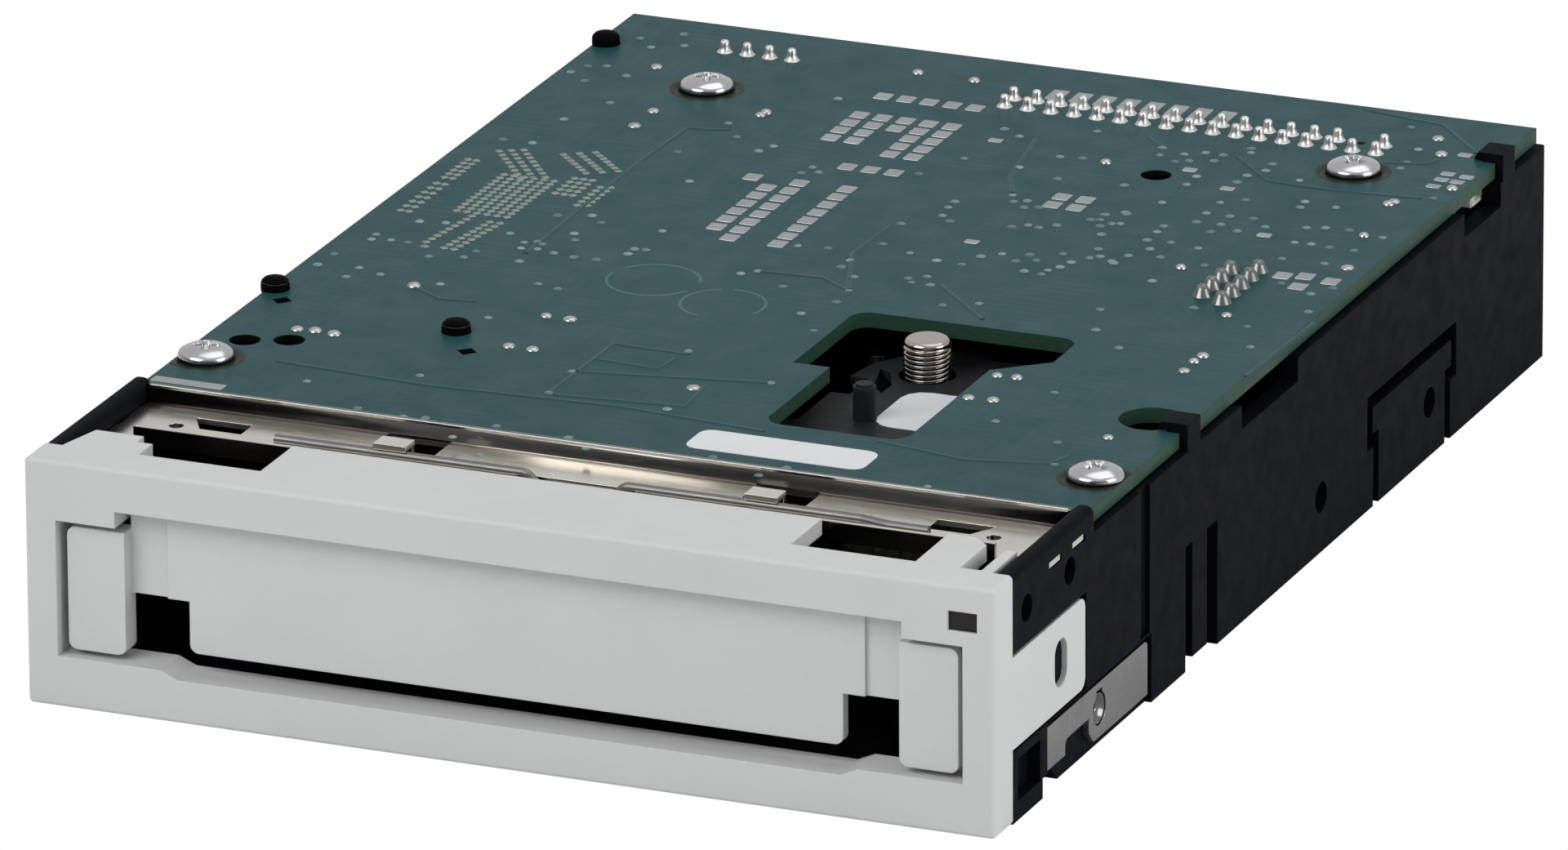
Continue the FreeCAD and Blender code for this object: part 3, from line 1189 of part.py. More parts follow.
def make_retention_spring():
    """The wire that lies on the bracket under its two hooks."""
    level = s.web_high + s.wire_thick / 2 + s.fit_gap / 2
    line = at(s.wire_at)
    dip = s.wire_hole_half - s.wire_thick
    straight_end = s.hook_slot_out + s.rail_wide
    offset = line - s.wire_thick * 0.7
    runs = [
        (-straight_end - s.wire_thick * 2, line, level),
        (-dip, line, level),
        (s.wire_dip - dip, line, level - s.wire_dip),
        (dip - s.wire_dip, line, level - s.wire_dip),
        (dip, line, level),
        (straight_end, line, level),
        (straight_end + s.wire_thick * 3, offset, level),
        (s.stud_slot_in + s.wire_thick, offset, level),
    ]
    wire("retention_spring", runs, s.wire_thick.value * 1.2, s.wire_thick.value)


def make_side_clips():
    """The sheet clips on the side walls with their keyholes and screws."""
    outline = [
        (at(s.clip_front), s.clip_leg_low),
        (at(s.clip_leg_end), s.clip_leg_low),
        (at(s.clip_leg_end), s.clip_arch_high),
        (at(s.clip_arch_end), s.clip_arch_high),
        (at(s.clip_arch_end), s.clip_leg_low),
        (at(s.clip_arch_end) + s.clip_low, s.clip_low),
        (at(s.clip_rear), s.clip_low),
        (at(s.clip_rear), s.clip_high),
        (at(s.clip_front), s.clip_high),
    ]
    round_end = Disc(at(s.clip_screw_at), s.clip_screw_high, s.clip_hole)
    slit = rectangle(at(s.clip_screw_at) - s.clip_slit, at(s.clip_screw_at) + s.clip_slit,
                     s.clip_screw_high, s.clip_slit_high)
    for name, low in (("right_side_clip", half_width - s.clip_thick), ("left_side_clip", -half_width)):
        clip = Piece(name)
        clip.add("YZ", low, low + s.clip_thick, outline)
        clip.cut("YZ", low - s.fit_gap, low + s.clip_thick + s.fit_gap, round_end)
        clip.cut("YZ", low - s.fit_gap, low + s.clip_thick + s.fit_gap, slit)
        clip.round("X", [(at(s.clip_rear), s.clip_high), (at(s.clip_leg_end), s.clip_arch_high)],
                   s.clip_thick)
    heads = []
    for side, sign in (("right", 1), ("left", -1)):
        head = doc.addObject("Part::Cylinder", side + "_clip_screw")
        bind(head, "Radius", s.clip_hole - s.fit_gap)
        bind(head, "Height", s.clip_thick - s.fit_gap)
        turn = FreeCAD.Rotation(FreeCAD.Vector(0, 1, 0), 90 * sign)
        head.Placement = FreeCAD.Placement(FreeCAD.Vector(), turn)
        move(head, (sign * (half_width - s.clip_thick), at(s.clip_screw_at), s.clip_screw_high))
        heads.append(head)
    group("clip_screws", heads)


def make_board():
    """The circuit board with its window, holes, notches and round cut-out."""
    board = Piece("circuit_board")
    front = at(s.board_front_at)
    rear = before_rear(s.board_rear_gap)
    notch = wall_inner - s.fit_gap * 2
    play = s.fit_gap * 2
    outline = [(-board_edge, front), (board_edge, front)]
    for hook in (at(s.hook_one_at), before_rear(s.hook_two_back)):
        start = hook - play
        end = hook + s.hook_wide + play
        outline += [(board_edge, start), (notch, start), (notch, end), (board_edge, end)]
    outline += [(board_edge, rear), (-board_edge, rear)]
    board.add("XY", s.board_low, board_top, outline)
    window = [
        (s.view_neck_left, at(s.view_front)),
        (s.view_neck_right, at(s.view_front)),
        (s.view_neck_right, at(s.view_shoulder) - s.view_slope),
        (s.view_right, at(s.view_shoulder)),
        (s.view_right, at(s.view_rear)),
        (s.view_left, at(s.view_rear)),
        (s.view_left, at(s.view_step)),
        (s.view_neck_left, at(s.view_step)),
    ]
    low = s.board_low - s.fit_gap
    high = board_top + s.fit_gap
    board.cut("XY", low, high, window)
    holes = [Disc(x, y, s.board_hole) for x, y in BOARD_SCREWS]
    holes += [Disc(s.in_switch_x, in_switch_y, s.peg_radius + s.fit_gap)]
    holes += [Disc(x, at(depth), s.small_hole) for x, depth in PLAIN_HOLES]
    board.cut("XY", low, high, *holes)
    board.cut("XY", low, high, Disc(half_width - s.cut_in, at(s.cut_at), s.cut_radius))
    edge_pegs = [Disc(out_switch_x, out_switch_y, s.peg_radius + s.fit_gap),
                 Disc(rear_peg_x, rear_peg_y, s.peg_radius + s.fit_gap)]
    board.cut("XY", low, high, *edge_pegs)
    diamonds = [diamond_at(s.in_switch_x + s.switch_half * 1.3, in_switch_y - s.switch_rear * 1.7),
                diamond_at(out_switch_x + s.switch_half * 0.8, out_switch_y - s.switch_rear)]
    board.cut("XY", low, high, *diamonds)
    hole = s.pin_half_width + s.fit_gap
    data = board.cut("XY", low, high, square(s.data_left, data_y, hole),
                     square(s.data_left, data_y + s.pitch, hole))
    board.row(data, "X", s.pitch, s.data_columns)
    power = board.cut("XY", low, high, square(s.power_left, power_y, hole))
    board.row(power, "X", s.power_pitch, s.power_pins)
    for pin, count in signal_pins(hole):
        board.row(board.cut("XY", low, high, pin), "Y", s.pitch, count)
    corners = [(s.view_right, at(s.view_rear)), (s.view_left, at(s.view_rear)),
               (s.view_neck_right, at(s.view_front)), (s.view_neck_left, at(s.view_front))]
    board.round("Z", corners, s.view_round)


def square(across, along, half):
    """A small square round a pin."""
    return rectangle(across - half, across + half, along - half, along + half)


def signal_pins(half):
    """The first pin and the count of each row of the signal header; the rows are staggered."""
    along = at(s.signal_at)
    return [
        (square(s.signal_left + s.pitch, along, half), s.signal_rows),
        (square(s.signal_left, along + s.pitch / 2, half), s.signal_rows - 1),
    ]


PLAIN_HOLES = [
    (s.hole_one_x, s.hole_one_at),
    (s.hole_two_x, s.hole_two_at),
    (s.hole_three_x, s.hole_three_at),
]


def diamond_at(across, along):
    half = s.diamond
    return [(across - half, along), (across, along - half), (across + half, along), (across, along + half)]


def make_board_screws():
    screws = []
    for number, (x, y) in enumerate(BOARD_SCREWS, start=1):
        screws.append(pan_screw("board_screw_%d" % number, x, y, board_top, s.screw_core,
                                s.screw_length, s.screw_head, s.screw_head_high))
    group("board_screws", screws)


def make_interface():
    """The shrouded two-row connector under the rear edge of the board and its pins."""
    shell = Piece("interface_connector")
    left = data_middle - s.shroud_wide / 2
    right = data_middle + s.shroud_wide / 2
    low = s.board_low - s.shroud_high
    front = before_rear(s.shroud_deep)
    rear = before_rear(s.board_rear_gap)
    shell.add("XZ", front, rear, rectangle(left, right, low, s.board_low))
    wall = s.shroud_wall
    shell.cut("XZ", front + wall, rear + s.fit_gap,
              rectangle(left + wall, right - wall, low + wall, s.board_low - wall))
    shell.cut("XZ", front + wall, rear + s.fit_gap,
              rectangle(data_middle - s.key_wide / 2, data_middle + s.key_wide / 2, low - s.fit_gap, low + wall))
    pins = Piece("interface_pins")
    half = s.pin_half_width
    centre = s.board_low - s.shroud_high / 2
    tip = rear - wall
    top = board_top + s.pin_above
    before_key = s.key_pin - 1
    rows = (
        (data_y, centre - s.pitch / 2, ((ZERO, s.data_columns),)),
        (data_y + s.pitch, centre + s.pitch / 2, ((ZERO, before_key), (s.key_pin, s.data_columns - s.key_pin))),
    )
    for along, level, runs in rows:
        bent = [
            (along - half, level - half),
            (tip, level - half),
            (tip, level + half),
            (along + half, level + half),
            (along + half, top),
            (along - half, top),
        ]
        for start, count in runs:
            across = s.data_left + s.pitch * start
            first = pins.add("YZ", across - half, across + half, bent)
            if count.value > 1:
                pins.row(first, "X", s.pitch, count)
    # The holes that the pins pass in the front wall of the shroud
    slots = [rectangle(s.data_left - s.pitch, s.data_left + s.pitch * s.data_columns,
                       level - half - s.fit_gap, level + half + s.fit_gap) for _, level, _ in rows]
    shell.cut("XZ", front - s.fit_gap, front + wall + s.fit_gap, *slots)


def make_power():
    """The small power connector and its pins."""
    left = power_middle - s.power_wide / 2
    right = power_middle + s.power_wide / 2
    low = s.board_low - s.power_high
    front = power_y + s.pin_half_width * 2
    rear = before_rear(s.board_rear_gap)
    wall = s.power_wall
    shell = Piece("power_connector")
    shell.add("XZ", front, rear, rectangle(left, right, low, s.board_low))
    shell.cut("XZ", front + wall, rear + s.fit_gap,
              rectangle(left + wall, right - wall, low + wall, s.board_low - wall))
    half = s.pin_half_width
    level = low + s.power_high / 2
    shell.cut("XZ", front - s.fit_gap, front + wall + s.fit_gap,
              rectangle(left + wall, right - wall, level - half - s.fit_gap, level + half + s.fit_gap))
    pins = Piece("power_pins_row")
    pins.body.Label = "power_pins"
    bent = [
        (power_y - half, level - half),
        (rear - wall, level - half),
        (rear - wall, level + half),
        (power_y + half, level + half),
        (power_y + half, board_top + s.pin_above),
        (power_y - half, board_top + s.pin_above),
    ]
    first = pins.add("YZ", s.power_left - half, s.power_left + half, bent)
    pins.row(first, "X", s.power_pitch, s.power_pins)


def make_signal_header():
    """The two-row header to the mechanism, with straight pins through the board."""
    half = s.pin_half_width
    low = s.board_low - s.signal_high
    body = Piece("signal_header")
    left = s.signal_left - s.pitch / 2
    right = s.signal_left + s.pitch * 1.5
    front = at(s.signal_at) - s.pitch / 2
    rear = front + s.pitch * s.signal_rows
    body.add("XY", low + s.signal_high / 2, s.board_low, rectangle(left, right, front, rear))
    body.round("Z", [(x, y) for x in (left, right) for y in (front, rear)], s.pitch / 6)
    pins = Piece("signal_pins")
    for pin, count in signal_pins(half):
        body.row(body.cut("XY", low, s.board_low + s.fit_gap, pin), "Y", s.pitch, count)
        pins.row(pins.add("XY", low, board_top + s.pin_above, pin), "Y", s.pitch, count)
    socket = Piece("flex_socket")
    base = s.board_low - s.socket_high
    socket.add("XZ", at(s.socket_at), at(s.socket_at) + s.socket_deep,
               rectangle(s.socket_left, s.socket_left + s.socket_wide, base, s.board_low))
    slot = s.socket_high / 4
    socket.cut("XZ", at(s.socket_at) - s.fit_gap, at(s.socket_at) + s.socket_deep / 2,
               rectangle(s.socket_left + slot, s.socket_left + s.socket_wide - slot,
                         base + slot, base + slot * 2))


def make_chips():
    """The integrated circuits on the underside of the board."""
    places = (
        ("controller", s.controller_x, s.controller_at, s.controller_wide, s.controller_wide),
        ("memory", s.memory_x, s.memory_at, s.memory_wide, s.memory_long),
        ("read_channel", s.reader_x, s.reader_at, s.reader_wide, s.reader_wide),
        ("motor_driver", s.driver_x, s.driver_at, s.driver_wide, s.driver_long),
    )
    chips = []
    for name, x, depth, wide, long in places:
        chips.append(block(name, x - wide / 2, x + wide / 2, at(depth) - long / 2, at(depth) + long / 2,
                           s.board_low - s.chip_thick, s.board_low))
    group("board_chips", chips)


def make_switches():
    """The two switches that hang from the board by their pegs, with their feelers."""
    x = s.in_switch_x
    low = s.board_low - s.in_switch_thick
    peg_top = board_top + s.peg_high
    switch = Piece("cartridge_switch")
    switch.add("XY", low, s.board_low,
               rectangle(x - s.switch_half, x + s.switch_half, in_switch_y - s.switch_front,
                         in_switch_y + s.switch_rear))
    switch.add("XY", s.board_low, peg_top, Disc(x, in_switch_y, s.peg_radius))
    feeler_y = in_switch_y - s.feeler_back
    bore = s.feeler_radius + s.running_gap
    roof = s.board_low - s.fit_gap * 2
    switch.cut("XY", low - s.fit_gap, roof, Disc(x, feeler_y, bore))
    feeler = rod("cartridge_feeler", x, feeler_y, low - s.feeler_proud,
                 roof - s.feeler_travel - s.fit_gap, s.feeler_radius)
    node("cartridge_feeler", feeler)

    guard = Piece("write_switch")
    outer = -wall_inner + s.fit_gap
    inner = outer + s.out_switch_wide
    front = out_switch_y - s.switch_front
    rear = out_switch_y + s.switch_rear
    guard.add("XY", s.out_switch_low, s.board_low, rectangle(outer, inner, front, rear))
    guard.add("XY", s.board_low, peg_top, Disc(out_switch_x, out_switch_y, s.peg_radius))
    side_y = out_switch_y - s.feeler_back
    guard.cut("YZ", outer + s.fit_gap * 2, inner + s.fit_gap, Disc(side_y, s.out_feeler_high, bore))
    plunger = Piece("write_feeler")
    plunger.add("YZ", outer + s.fit_gap * 3 + s.feeler_travel,
                -s.bay_half + s.feeler_travel, Disc(side_y, s.out_feeler_high, s.feeler_radius))


def make_bay_cover():
    """The cover over the rear of the cartridge bay, with a hole for the lift screw and a peg."""
    cover = Piece("bay_cover")
    side = s.bay_half + s.bay_guide
    top = s.guide_high + s.cover_thick
    neck = s.lift_radius + s.cover_gap
    rear = at(s.cover_rear)
    wing = lift_y + s.cover_wing
    back = lift_y + s.cover_back
    outline = [
        (-side, at(s.cover_front)),
        (side, at(s.cover_front)),
        (side, rear),
        (s.cover_right, rear),
        (s.cover_right, wing),
        (s.lift_x + s.cover_wing * 0.7, wing),
        (s.lift_x + neck, back),
        (s.lift_x - neck / 2, back),
        (s.lift_x - neck, wing),
        (s.lift_x - s.cover_wing, lift_y + s.cover_arm),
        (s.cover_left, at(s.cover_notch_end)),
        (s.cover_notch, at(s.cover_notch_end)),
        (s.cover_notch, at(s.cover_step)),
        (s.cover_left, at(s.cover_step)),
        (s.cover_left, rear),
        (-side, rear),
    ]
    cover.add("XY", s.guide_high, top, outline)
    hole = [
        (s.cover_hole_left, at(s.cover_hole_rear)),
        (s.cover_hole_left + s.cover_arm, at(s.cover_hole_rear) - s.cover_arm / 2),
        (s.cover_hole_right, at(s.cover_hole_front) + s.cover_arm * 2),
        (s.cover_hole_right, at(s.cover_hole_front)),
        (s.cover_hole_left + s.cover_arm, at(s.cover_hole_front) + s.cover_arm),
    ]
    feeler = Disc(s.in_switch_x, in_switch_y - s.feeler_back, s.feeler_radius * 1.6)
    cover.cut("XY", s.guide_high - s.fit_gap, top + s.fit_gap, hole, feeler, Disc(s.lift_x, lift_y, neck))
    shoulder = s.cover_peg_high - s.cover_peg / 4
    cover.add("XY", top, shoulder, Disc(s.cover_peg_x, at(s.cover_peg_at), s.cover_peg))
    cover.add("XY", shoulder, s.cover_peg_high, Disc(s.cover_peg_x, at(s.cover_peg_at), s.cover_peg * 0.75))


def make_hole_sensor():
    """The forked sensor that looks for the holes in the tape."""
    sensor = Piece("hole_sensor")
    left = s.sensor_x - s.sensor_half
    right = s.sensor_x + s.sensor_half
    front = at(s.sensor_front)
    rear = front + s.sensor_deep
    sensor.add("XY", floor_top, s.sensor_high, rectangle(left, right, front, rear))
    sensor.cut("YZ", left - s.fit_gap, right + s.fit_gap,
               rectangle(front - s.fit_gap, front + s.sensor_slot_deep, s.sensor_slot_low, s.sensor_slot_high))
    sensor.round("X", [(front, s.sensor_high), (rear, s.sensor_high)], s.head_round)


def make_latches():
    """The latch arms with their studs, the rollers on them and the fixed pivots."""
    roller_y = at(s.roller_at)
    pivots = []
    for side, sign in (("left", -1), ("right", 1)):
        pivot_x = sign * s.latch_pivot_x
        roller_x = sign * s.roller_x
        arm = Piece(side + "_latch_arm")
        reach = s.latch_hub * 0.8
        strap = [
            (pivot_x - reach, latch_y),
            (roller_x - reach, roller_y),
            (roller_x + reach, roller_y),
            (pivot_x + reach, latch_y),
        ]
        arm.add("XY", latch_low, latch_high, strap)
        arm.add("XY", latch_low, latch_high, Disc(roller_x, roller_y, s.latch_hub))
        arm.add("XY", latch_low, s.roller_high, Disc(pivot_x, latch_y, s.latch_hub))
        arm.add("XY", latch_high, s.stud_high, Disc(roller_x, roller_y, s.stud_radius))
        arm.cut("XY", latch_low - s.fit_gap, s.roller_high + s.fit_gap,
                Disc(pivot_x, latch_y, s.latch_pin + s.running_gap))
        roller = Piece(side + "_latch_roller", (roller_x, roller_y, ZERO))
        inner = s.stud_radius + s.running_gap
        crown = s.roller_radius * 0.12
        roller.turn([
            (inner, s.roller_low),
            (s.roller_radius - crown, s.roller_low),
            (s.roller_radius, s.roller_low + crown),
            (s.roller_radius, s.roller_high - crown),
            (s.roller_radius - crown, s.roller_high),
            (inner, s.roller_high),
        ])
        pivots.append(rod(side + "_latch_pivot", pivot_x, latch_y, rod_seat,
                          s.roller_high + s.arm_plate, s.latch_pin))
    group("latch_pivots", pivots)


def make_motor():
    """The flat capstan motor: plate, coils, bush, rotor, magnet, shaft and screws."""
    place = (s.capstan_x, capstan_y, ZERO)
    plate = Piece("motor_plate", place)
    half = s.plate_half
    plate.add("XY", s.plate_low, plate_top, rectangle(-half, half, -half, half))
    holes = [Disc(a * plate_inset, b * plate_inset, s.motor_screw) for a, b in CAPSTAN_CORNERS]
    plate.cut("XY", s.plate_low - s.fit_gap, plate_top + s.fit_gap, Disc(0, 0, s.bush_radius), *holes)
    plate.round("Z", [(a * half, b * half) for a in (-1, 1) for b in (-1, 1)], s.plate_round)
    coils = Piece("motor_coils", place)
    coil = coils.add("XY", plate_top, plate_top + s.coil_high, Disc(s.coil_ring, 0, s.coil_out),
                     Disc(s.coil_ring, 0, s.coil_in))
    coils.around(coil, s.coil_count)
    bush = Piece("motor_bearing", place)
    bore = s.shaft_radius + s.running_gap * 0.6
    bush.turn([
        (bore, s.plate_low),
        (s.bush_radius, s.plate_low),
        (s.bush_radius, s.bush_high - s.fit_gap * 4),
        (s.bush_radius - s.fit_gap * 4, s.bush_high),
        (bore, s.bush_high),
    ])
    rotor = Piece("motor_rotor", place)
    disc_high = s.rotor_disc_low + s.rotor_skin
    rotor.turn([
        (s.shaft_radius, s.rotor_disc_low),
        (s.rotor_radius - s.rotor_skin, s.rotor_disc_low),
        (s.rotor_radius - s.rotor_skin, s.rotor_low),
        (s.rotor_radius, s.rotor_low),
        (s.rotor_radius, disc_high - s.rotor_skin / 2),
        (s.rotor_radius - s.rotor_skin / 2, disc_high),
        (s.rotor_hub, disc_high),
        (s.rotor_hub, s.rotor_hub_high),
        (s.shaft_radius, s.rotor_hub_high),
    ])
    magnet = Piece("rotor_magnet", place)
    rim = s.rotor_radius - s.rotor_skin
    magnet.turn(rectangle(s.magnet_in, rim, s.rotor_disc_low - s.magnet_thick, s.rotor_disc_low))
    shaft = Piece("motor_shaft", place)
    tip = s.shaft_radius * 0.2
    shaft.turn([
        (ZERO, s.shaft_low),
        (s.shaft_radius - tip, s.shaft_low),
        (s.shaft_radius, s.shaft_low + tip),
        (s.shaft_radius, s.shaft_high - tip),
        (s.shaft_radius - tip, s.shaft_high),
        (ZERO, s.shaft_high),
    ])
    hub_radius = s.capstan_radius - s.tyre_thick
    hub = Piece("capstan_hub", place)
    web = (s.capstan_high - s.capstan_low) / 4
    lip = s.capstan_radius / 3 + s.shaft_radius / 2
    hub.turn([
        (s.shaft_radius, s.capstan_low),
        (hub_radius, s.capstan_low),
        (hub_radius, s.capstan_high),
        (hub_radius - s.tyre_thick / 2, s.capstan_high),
        (hub_radius - s.tyre_thick / 2, s.capstan_high - web),
        (lip, s.capstan_high - web),
        (lip, s.capstan_high),
        (s.shaft_radius, s.capstan_high),
    ])
    tyre = Piece("capstan_tyre", place)
    low = s.capstan_low + s.tyre_margin
    high = s.capstan_high - s.tyre_margin
    corner = s.tyre_thick / 4
    tyre.turn([
        (hub_radius, low),
        (s.capstan_radius - corner, low),
        (s.capstan_radius, low + corner),
        (s.capstan_radius, high - corner),
        (s.capstan_radius - corner, high),
        (hub_radius, high),
    ])
    length = floor_top - s.plate_low
    screws = [pan_screw("motor_screw_%d" % number, x, y, floor_top, s.motor_screw, length,
                        s.motor_screw_head, s.motor_screw_high)
              for number, (x, y) in enumerate(MOTOR_SCREWS, start=1)]
    group("motor_screws", screws)


def toothed_wheel(name, place, teeth, bore, low, high, phase):
    """A spur gear with straight-flanked teeth of the shared module."""
    gear = Piece(name, place)
    pitch_radius = s.module_size * teeth / 2
    root = pitch_radius - s.module_size * ROOT_DEPTH
    tip = pitch_radius + s.module_size * TIP_HEIGHT
    gear.add("XY", low, high, Disc(0, 0, root), Disc(0, 0, bore))
    foot = s.module_size * FOOT_HALF
    crest = s.module_size * CREST_HALF
    tooth = [
        (root - s.module_size / 4, -foot),
        (tip, -crest),
        (tip, crest),
        (root - s.module_size / 4, foot),
    ]
    first = gear.add("XY", low, high, tooth)
    gear.around(first, teeth)
    bind(gear.body, "Placement.Rotation.Angle", phase)
    return gear


ROOT_DEPTH = 1.2
TIP_HEIGHT = 0.9
FOOT_HALF = 0.95
CREST_HALF = 0.38


def make_lift():
    """The lift screw of the head with its bearing and gear."""
    place = (s.lift_x, lift_y, ZERO)
    screw = Piece("lead_screw", place)
    screw.turn([
        (ZERO, s.journal_low),
        (s.journal_radius, s.journal_low),
        (s.journal_radius, s.gear_low),
        (s.lift_core, s.gear_low),
        (s.lift_core, gear_high),
        (s.lift_radius, gear_high + s.fit_gap * 2),
        (s.lift_radius, s.lift_top - s.lift_chamfer),
        (s.lift_radius - s.lift_chamfer, s.lift_top),
        (ZERO, s.lift_top),
    ])
    bush = Piece("screw_bearing", place)
    bore = s.journal_radius + s.running_gap * 0.6
    bush.turn([
        (bore, s.journal_low),
        (s.screw_bush, s.journal_low),
        (s.screw_bush, floor_top),
        (s.screw_bush + s.fit_gap * 5, floor_top),
        (s.screw_bush + s.fit_gap * 5, floor_top + s.fit_gap * 3),
        (bore, floor_top + s.fit_gap * 3),
    ])
    toothed_wheel("lead_screw_gear", place, s.gear_teeth, s.lift_core, s.gear_low, gear_high,
                  s.stepper_angle * Size(1, "1 deg"))


def make_stepper():
    """The stepper motor with its flange, shaft, pinion and screws."""
    place = (stepper_x, stepper_y, ZERO)
    can = Piece("stepper_motor", place)
    bore = s.stepper_shaft + s.running_gap
    can.add("XY", stepper_seat, s.stepper_low, Disc(0, 0, s.stepper_radius))
    reach = s.stepper_ear
    half = s.ear_round
    can.add("XY", stepper_seat, s.stepper_low, rectangle(ZERO, reach, -half, half))
    can.add("XY", stepper_seat, s.stepper_low, rectangle(-half, half, ZERO, reach))
    can.add("XY", stepper_seat, s.stepper_low, Disc(reach, 0, half))
    can.add("XY", stepper_seat, s.stepper_low, Disc(0, reach, half))
    can.add("XY", s.stepper_low, s.stepper_high, Disc(0, 0, s.stepper_radius))
    can.cut("XY", stepper_seat - s.fit_gap, s.stepper_high - s.stepper_flange, Disc(0, 0, bore))
    can.cut("XY", stepper_seat - s.fit_gap, s.stepper_low + s.fit_gap, Disc(reach, 0, s.motor_screw))
    can.cut("XY", stepper_seat - s.fit_gap, s.stepper_low + s.fit_gap, Disc(0, reach, s.motor_screw))
    shaft = rod("stepper_shaft", stepper_x, stepper_y, s.gear_low - s.fit_gap * 3,
                s.stepper_high - s.stepper_flange * 2, s.stepper_shaft)
    node("stepper_shaft", shaft)
    half_tooth = Size(180, "180 deg") / s.pinion_teeth
    turned = s.stepper_angle * Size(1, "1 deg") + Size(180, "180 deg") + half_tooth
    toothed_wheel("stepper_pinion", place, s.pinion_teeth, s.stepper_shaft, s.gear_low, gear_high, turned)
    length = s.stepper_low - floor_top
    screws = [pan_screw("stepper_screw_%d" % number, x, y, s.stepper_low, s.motor_screw, length,
                        s.motor_screw_head, s.motor_screw_high)
              for number, (x, y) in enumerate(STEPPER_EARS, start=1)]
    group("stepper_screws", screws)


def make_head():
    """The guide rod, the carriage on it, the nut on the lift screw and the tape head."""
    guide = rod("guide_rod", s.rod_x, rod_y, rod_seat, s.rod_top, s.rod_radius)
    node("guide_rod", guide)
    low = s.carriage_low
    high = s.carriage_high
    carriage = Piece("head_carriage")
    carriage.add("XY", low, high, Disc(s.rod_x, rod_y, s.sleeve_radius))
    collar = s.nut_radius + s.collar_wall
    carriage.add("XY", low, high, Disc(s.lift_x, lift_y, collar))
    half = s.sleeve_radius * 0.7
    carriage.add("XY", low, high, [
        (s.rod_x - half, rod_y - half),
        (s.lift_x - collar * 0.7, lift_y - collar * 0.2),
        (s.lift_x, lift_y + collar * 0.9),
        (s.rod_x + half, rod_y + half),
    ])
    head_rear = at(s.head_front) + s.head_deep
    carriage.add("XY", low, high,
                 rectangle(s.head_x - s.bridge_half, s.head_x + s.bridge_half, head_rear, lift_y))
    carriage.cut("XY", low - s.fit_gap, high + s.fit_gap,
                 Disc(s.rod_x, rod_y, s.rod_radius + s.running_gap))
    carriage.cut("XY", low - s.fit_gap, high + s.fit_gap, Disc(s.lift_x, lift_y, s.nut_radius))
    nut = Piece("head_nut", (s.lift_x, lift_y, ZERO))
    nut.add("XY", s.nut_low, s.nut_high, Disc(0, 0, s.nut_radius),
            Disc(0, 0, s.lift_radius + s.running_gap))
    head = Piece("tape_head")
    left = s.head_x - s.head_half
    right = s.head_x + s.head_half
    front = at(s.head_front)
    head.add("XY", s.head_low, s.head_high, rectangle(left, right, front, head_rear))
    head.round("Z", [(left, front), (right, front)], s.head_round)


def check_all():
    """Stops the build if a feature failed or a sub-part is not sound."""
    for thing in doc.Objects:
        if "Invalid" in thing.State or "Error" in thing.State:
            raise RuntimeError("%s failed" % thing.Name)
        if thing.TypeId == "PartDesign::Pocket":
            if thing.Shape.Volume >= thing.BaseFeature.Shape.Volume:
                raise RuntimeError("%s cuts nothing" % thing.Name)
    for thing in NODES:
        if thing.Shape.isNull() or not thing.Shape.isValid():
            raise RuntimeError("%s has no sound shape" % thing.Label)


make_chassis()
make_bezel()
make_door()
make_hinge()
make_led()
make_bracket()
make_retention_spring()
make_side_clips()
make_board()
make_board_screws()
make_interface()
make_power()
make_signal_header()
make_chips()
make_switches()
make_bay_cover()
make_hole_sensor()
make_latches()
make_motor()
make_lift()
make_stepper()
make_head()
doc.recompute()
check_all()
os.makedirs("parts", exist_ok=True)
for thing in NODES:
    thing.Shape.exportStep("parts/%s.step" % thing.Label)
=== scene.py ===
"""Looks of a slim data tape drive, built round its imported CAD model."""
import json
import math
import random

import bmesh
import bpy
from mathutils import Matrix, Vector


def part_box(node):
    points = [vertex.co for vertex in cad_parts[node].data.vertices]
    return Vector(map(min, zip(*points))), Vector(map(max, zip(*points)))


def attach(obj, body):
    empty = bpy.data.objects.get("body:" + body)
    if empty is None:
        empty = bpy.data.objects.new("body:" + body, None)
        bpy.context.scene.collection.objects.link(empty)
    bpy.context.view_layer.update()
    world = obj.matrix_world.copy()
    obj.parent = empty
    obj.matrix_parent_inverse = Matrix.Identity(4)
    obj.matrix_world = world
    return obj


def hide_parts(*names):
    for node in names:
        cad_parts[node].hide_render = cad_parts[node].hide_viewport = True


MM = 0.001
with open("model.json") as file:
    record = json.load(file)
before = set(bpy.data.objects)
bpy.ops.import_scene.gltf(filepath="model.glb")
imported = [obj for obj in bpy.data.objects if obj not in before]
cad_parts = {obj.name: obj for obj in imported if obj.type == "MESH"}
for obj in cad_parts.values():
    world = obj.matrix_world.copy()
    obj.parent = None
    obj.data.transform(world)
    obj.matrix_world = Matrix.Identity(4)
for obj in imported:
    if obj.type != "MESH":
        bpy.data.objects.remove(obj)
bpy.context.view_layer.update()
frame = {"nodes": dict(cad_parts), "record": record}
NODES = frame["nodes"]

BOARD_LOW, BOARD_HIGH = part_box("circuit_board")
BOARD_TOP = BOARD_HIGH.z
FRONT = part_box("bezel")[0].y
# Heights in millimetres: the top of the cover over the bay, and the middle of the bezel's side arms.
COVER_TOP = 20.3
ARM_MIDDLE = 12.30

